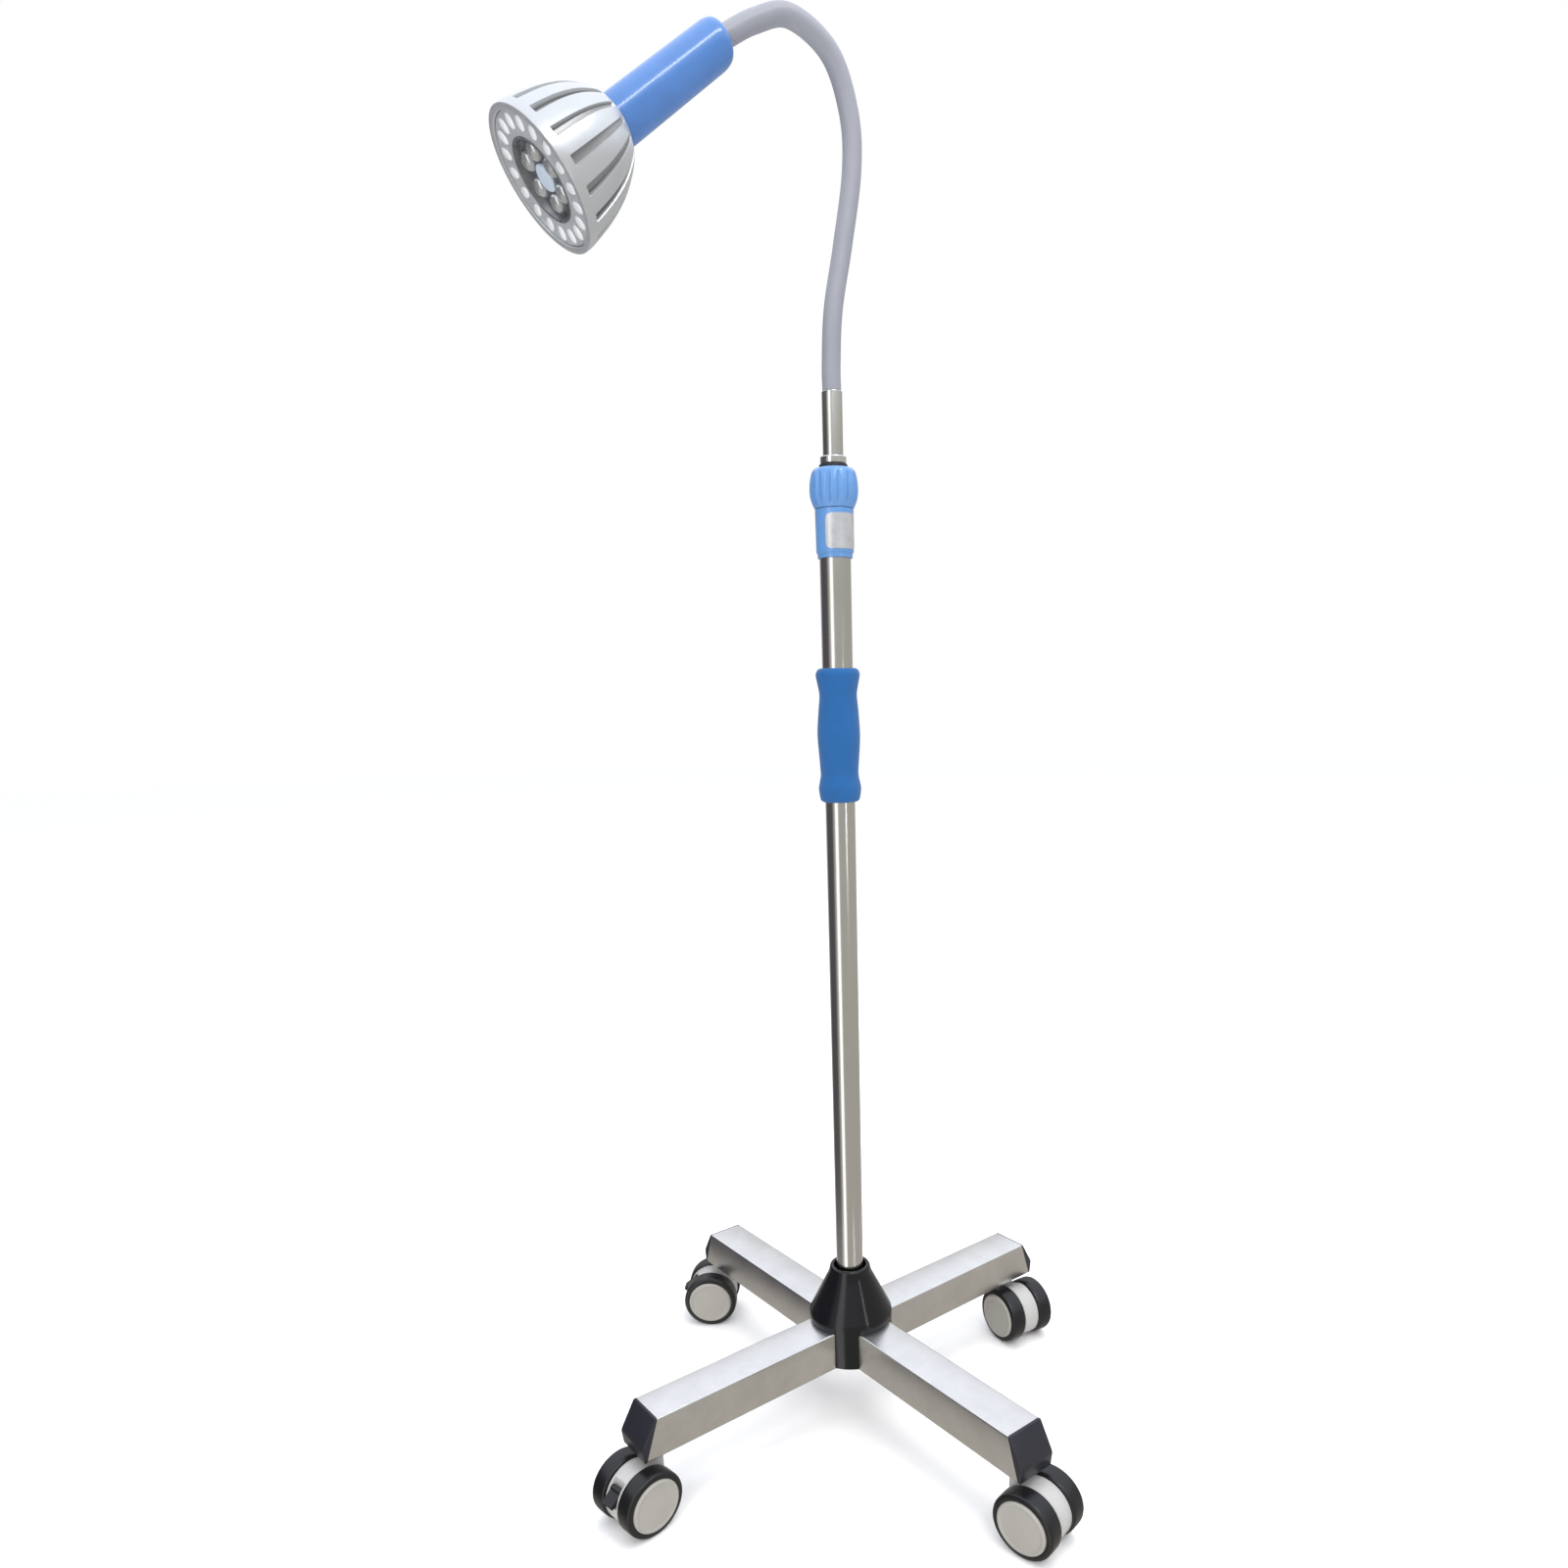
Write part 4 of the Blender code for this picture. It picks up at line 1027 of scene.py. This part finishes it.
def make_face():
    """The lens plate: a ring of small lenses, a dark-walled recess with six large ones, and a centre disc."""
    outer = FACE_RADIUS - 0.0061
    recess = 0.0335
    floor = -0.0080
    plate = turned(
        "lens_carrier",
        [
            (0.0, floor),
            (recess - 0.0022, floor, 0.0010),
            (recess, -0.0022, 0.0010),
            (outer, -0.0022, 0.0006),
            (outer, -0.0100),
            (0.0, -0.0100),
        ],
        LENS_PLATE,
        columns=128,
    )
    put(plate, "lamp", "clear_lens", "lens_plate", matrix=HEAD)
    wall = turned(
        "recess_wall",
        [
            (0.0, floor + 0.0004),
            (recess - 0.0026, floor + 0.0004, 0.0006),
            (recess - 0.0006, -0.0016, 0.0006),
            (recess + 0.0012, -0.0014, 0.0005),
            (recess + 0.0012, -0.0026),
            (recess + 0.0002, -0.0026),
            (recess - 0.0020, floor - 0.0004),
            (0.0, floor - 0.0004),
        ],
        RECESS_DARK,
        columns=128,
    )
    put(wall, "lamp", "black_plastic", matrix=HEAD)
    small = dome_ring("small_lenses", LENS_CLEAR, SMALL_LENSES, 0.0, reach=0.0462, height=-0.0024,
                      size=(0.0066, 0.0048, 0.0020))
    put(small, "lamp", "clear_lens", matrix=HEAD)
    large = dome_ring("large_lenses", DOME_CLEAR, LARGE_LENSES, 0.5, reach=0.0212, height=floor + 0.0002,
                      size=(0.0084, 0.0084, 0.0060))
    put(large, "lamp", "clear_lens", matrix=HEAD)
    centre = turned(
        "centre_disc",
        [
            (0.0, floor + 0.0030),
            (0.0104, floor + 0.0028, 0.0006),
            (0.0114, floor + 0.0018, 0.0004),
            (0.0116, floor),
            (0.0, floor),
        ],
        CENTRE_GREY,
        columns=64,
    )
    put(centre, "lamp", "white_plastic", matrix=HEAD)


# ---------------------------------------------------------------- assembly
for leg_position, leg_azimuth in LEG_AZIMUTHS.items():
    make_leg(leg_position, leg_azimuth)
    make_stem(leg_position)
    make_housing(leg_position)
    make_wheel(leg_position, 1, -1)
    make_wheel(leg_position, 2, 1)
for braked_position in BRAKED:
    dress(f"brake_pedal_{braked_position}", PEDAL_BLACK, 0.0008)
dress("hub_block", LEG_STEEL, 0.0006)
dress("base_bolt", BRIGHT_STEEL, 0.0004)
dress("tube_collet", INNER_WHITE)
dress("guide_bush", INNER_WHITE)
dress("lamp_holder", INNER_WHITE)
dress("led_board", INNER_WHITE)
dress("centre_contact", BRASS)
dress("screw_cap", BRASS)
make_cone()
make_pole()
make_grip()
make_collar()
make_inner_tube()
make_neck()
make_handle()
make_bell()
make_face()


# ---------------------------------------------------------------- floor, light and camera
def make_floor():
    paint = surface("floor_paint", (0.93, 0.915, 0.89), 0.75, grain=30, tint=0.01, spread=0.02)
    radius, thickness, columns = 14.0, 0.02, 96
    floor = skin("floor", [ring(radius, height, columns) for height in (-thickness, 0.0)], paint)
    floor.visible_glossy = False


def make_world():
    """A studio painted by direction: bright above, warm grey round it, a dark wall and a tall strip."""
    world = bpy.data.worlds.new("studio")
    bpy.context.scene.world = world
    world.use_nodes = True
    nodes, links = world.node_tree.nodes, world.node_tree.links
    background = nodes["Background"]
    where = nodes.new("ShaderNodeTexCoord")
    split = nodes.new("ShaderNodeSeparateXYZ")
    links.new(where.outputs["Generated"], split.inputs[0])
    level = nodes.new("ShaderNodeCombineXYZ")
    links.new(split.outputs["X"], level.inputs["X"])
    links.new(split.outputs["Y"], level.inputs["Y"])
    flat = nodes.new("ShaderNodeVectorMath")
    flat.operation = "NORMALIZE"
    links.new(level.outputs[0], flat.inputs[0])

    def fade(value, start, end):
        made = nodes.new("ShaderNodeMapRange")
        made.interpolation_type = "SMOOTHSTEP"
        made.inputs["From Min"].default_value = start
        made.inputs["From Max"].default_value = end
        links.new(value, made.inputs["Value"])
        return made.outputs[0]

    def times(a, b):
        made = nodes.new("ShaderNodeMath")
        made.operation = "MULTIPLY"
        links.new(a, made.inputs[0])
        links.new(b, made.inputs[1])
        return made.outputs[0]

    def around(azimuth, half, soft):
        """1 within half degrees of the azimuth, falling to 0 over soft degrees."""
        turn = math.radians(azimuth)
        dot = nodes.new("ShaderNodeVectorMath")
        dot.operation = "DOT_PRODUCT"
        dot.inputs[1].default_value = (math.cos(turn), math.sin(turn), 0)
        links.new(flat.outputs[0], dot.inputs[0])
        return fade(dot.outputs["Value"], math.cos(math.radians(half + soft)), math.cos(math.radians(half)))

    def band(low, high, soft):
        """1 between two heights of the direction's Z."""
        up = fade(split.outputs["Z"], low - soft, low)
        down = fade(split.outputs["Z"], high + soft, high)
        return times(up, down)

    def paint(under, mask, colour):
        made = nodes.new("ShaderNodeMix")
        made.data_type = "RGBA"
        links.new(mask, made.inputs["Factor"])
        first, second = (socket for socket in made.inputs if socket.type == "RGBA")
        if isinstance(under, tuple):
            first.default_value = under
        else:
            links.new(under, first)
        second.default_value = (*colour, 1)
        return next(socket for socket in made.outputs if socket.type == "RGBA")

    colour = paint((0.50, 0.475, 0.435, 1), fade(split.outputs["Z"], -0.6, -0.1), (0.50, 0.49, 0.455))
    colour = paint(colour, fade(split.outputs["Z"], 0.26, 0.56), (1.20, 1.25, 1.38))
    colour = paint(colour, times(around(132, 30, 16), band(-0.42, 0.35, 0.15)), (0.10, 0.095, 0.11))
    colour = paint(colour, times(around(200, 6, 8), band(-0.7, 0.5, 0.2)), (1.9, 1.9, 1.9))
    seen = nodes.new("ShaderNodeLightPath")
    plain = nodes.new("ShaderNodeBackground")
    plain.inputs["Color"].default_value = (1, 1, 1, 1)
    mix = nodes.new("ShaderNodeMixShader")
    links.new(colour, background.inputs["Color"])
    links.new(seen.outputs["Is Camera Ray"], mix.inputs["Fac"])
    links.new(background.outputs[0], mix.inputs[1])
    links.new(plain.outputs[0], mix.inputs[2])
    links.new(mix.outputs[0], nodes["World Output"].inputs["Surface"])


def area_light(name, location, target, size, power, colour=(1, 1, 1)):
    data = bpy.data.lights.new(name, "AREA")
    data.shape = "DISK"
    data.size = size
    data.energy = power
    data.color = colour
    lamp = linked(name, data)
    lamp.location = location
    lamp.rotation_euler = (Vector(target) - Vector(location)).to_track_quat("-Z", "Y").to_euler()
    lamp.visible_glossy = False
    lamp.visible_camera = False


def strip_light(name, target, direction, distance, along, length, width, radiance):
    """A narrow light seen in glossy surfaces as a line."""
    data = bpy.data.lights.new(name, "AREA")
    data.shape = "RECTANGLE"
    data.size, data.size_y = length, width
    data.energy = radiance * math.pi * length * width
    lamp = linked(name, data)
    back = Vector(direction).normalized()
    x = (Vector(along) - back * Vector(along).dot(back)).normalized()
    lamp.matrix_world = axes(x, back.cross(x), back, Vector(target) + back * distance)
    lamp.visible_camera = False


def make_camera():
    data = bpy.data.cameras.new("camera")
    data.sensor_width = 36
    data.lens = 24.885
    data.shift_x = -0.04375
    data.shift_y = 0.1275
    camera = linked("camera", data)
    camera.location = (-0.7527, -0.9650, 0.9024)
    camera.rotation_euler = (1.3092, 0.0180, -0.6850)
    bpy.context.scene.camera = camera


make_floor()
make_world()
area_light("overhead", (0.3, -0.2, 3.4), (0, 0, 0.6), 2.6, 52)
area_light("front_fill", (-2.6, -1.6, 2.2), (0, 0, 0.8), 1.8, 28)
handle_middle = FACE - LIGHT * (HANDLE_FRONT + HANDLE_BACK) / 2
strip_light("handle_strip", handle_middle, (-0.04, -0.764, 0.648), 2.6, (-0.78, -0.22, -0.30), 2.4, 0.30, 12)
strip_light("cone_strip", (0.016, 0.001, 0.17), (0.10, -0.964, 0.244), 2.6, (0, 0, 1), 0.7, 0.08, 8)
make_camera()
bpy.context.scene.view_settings.view_transform = "Standard"
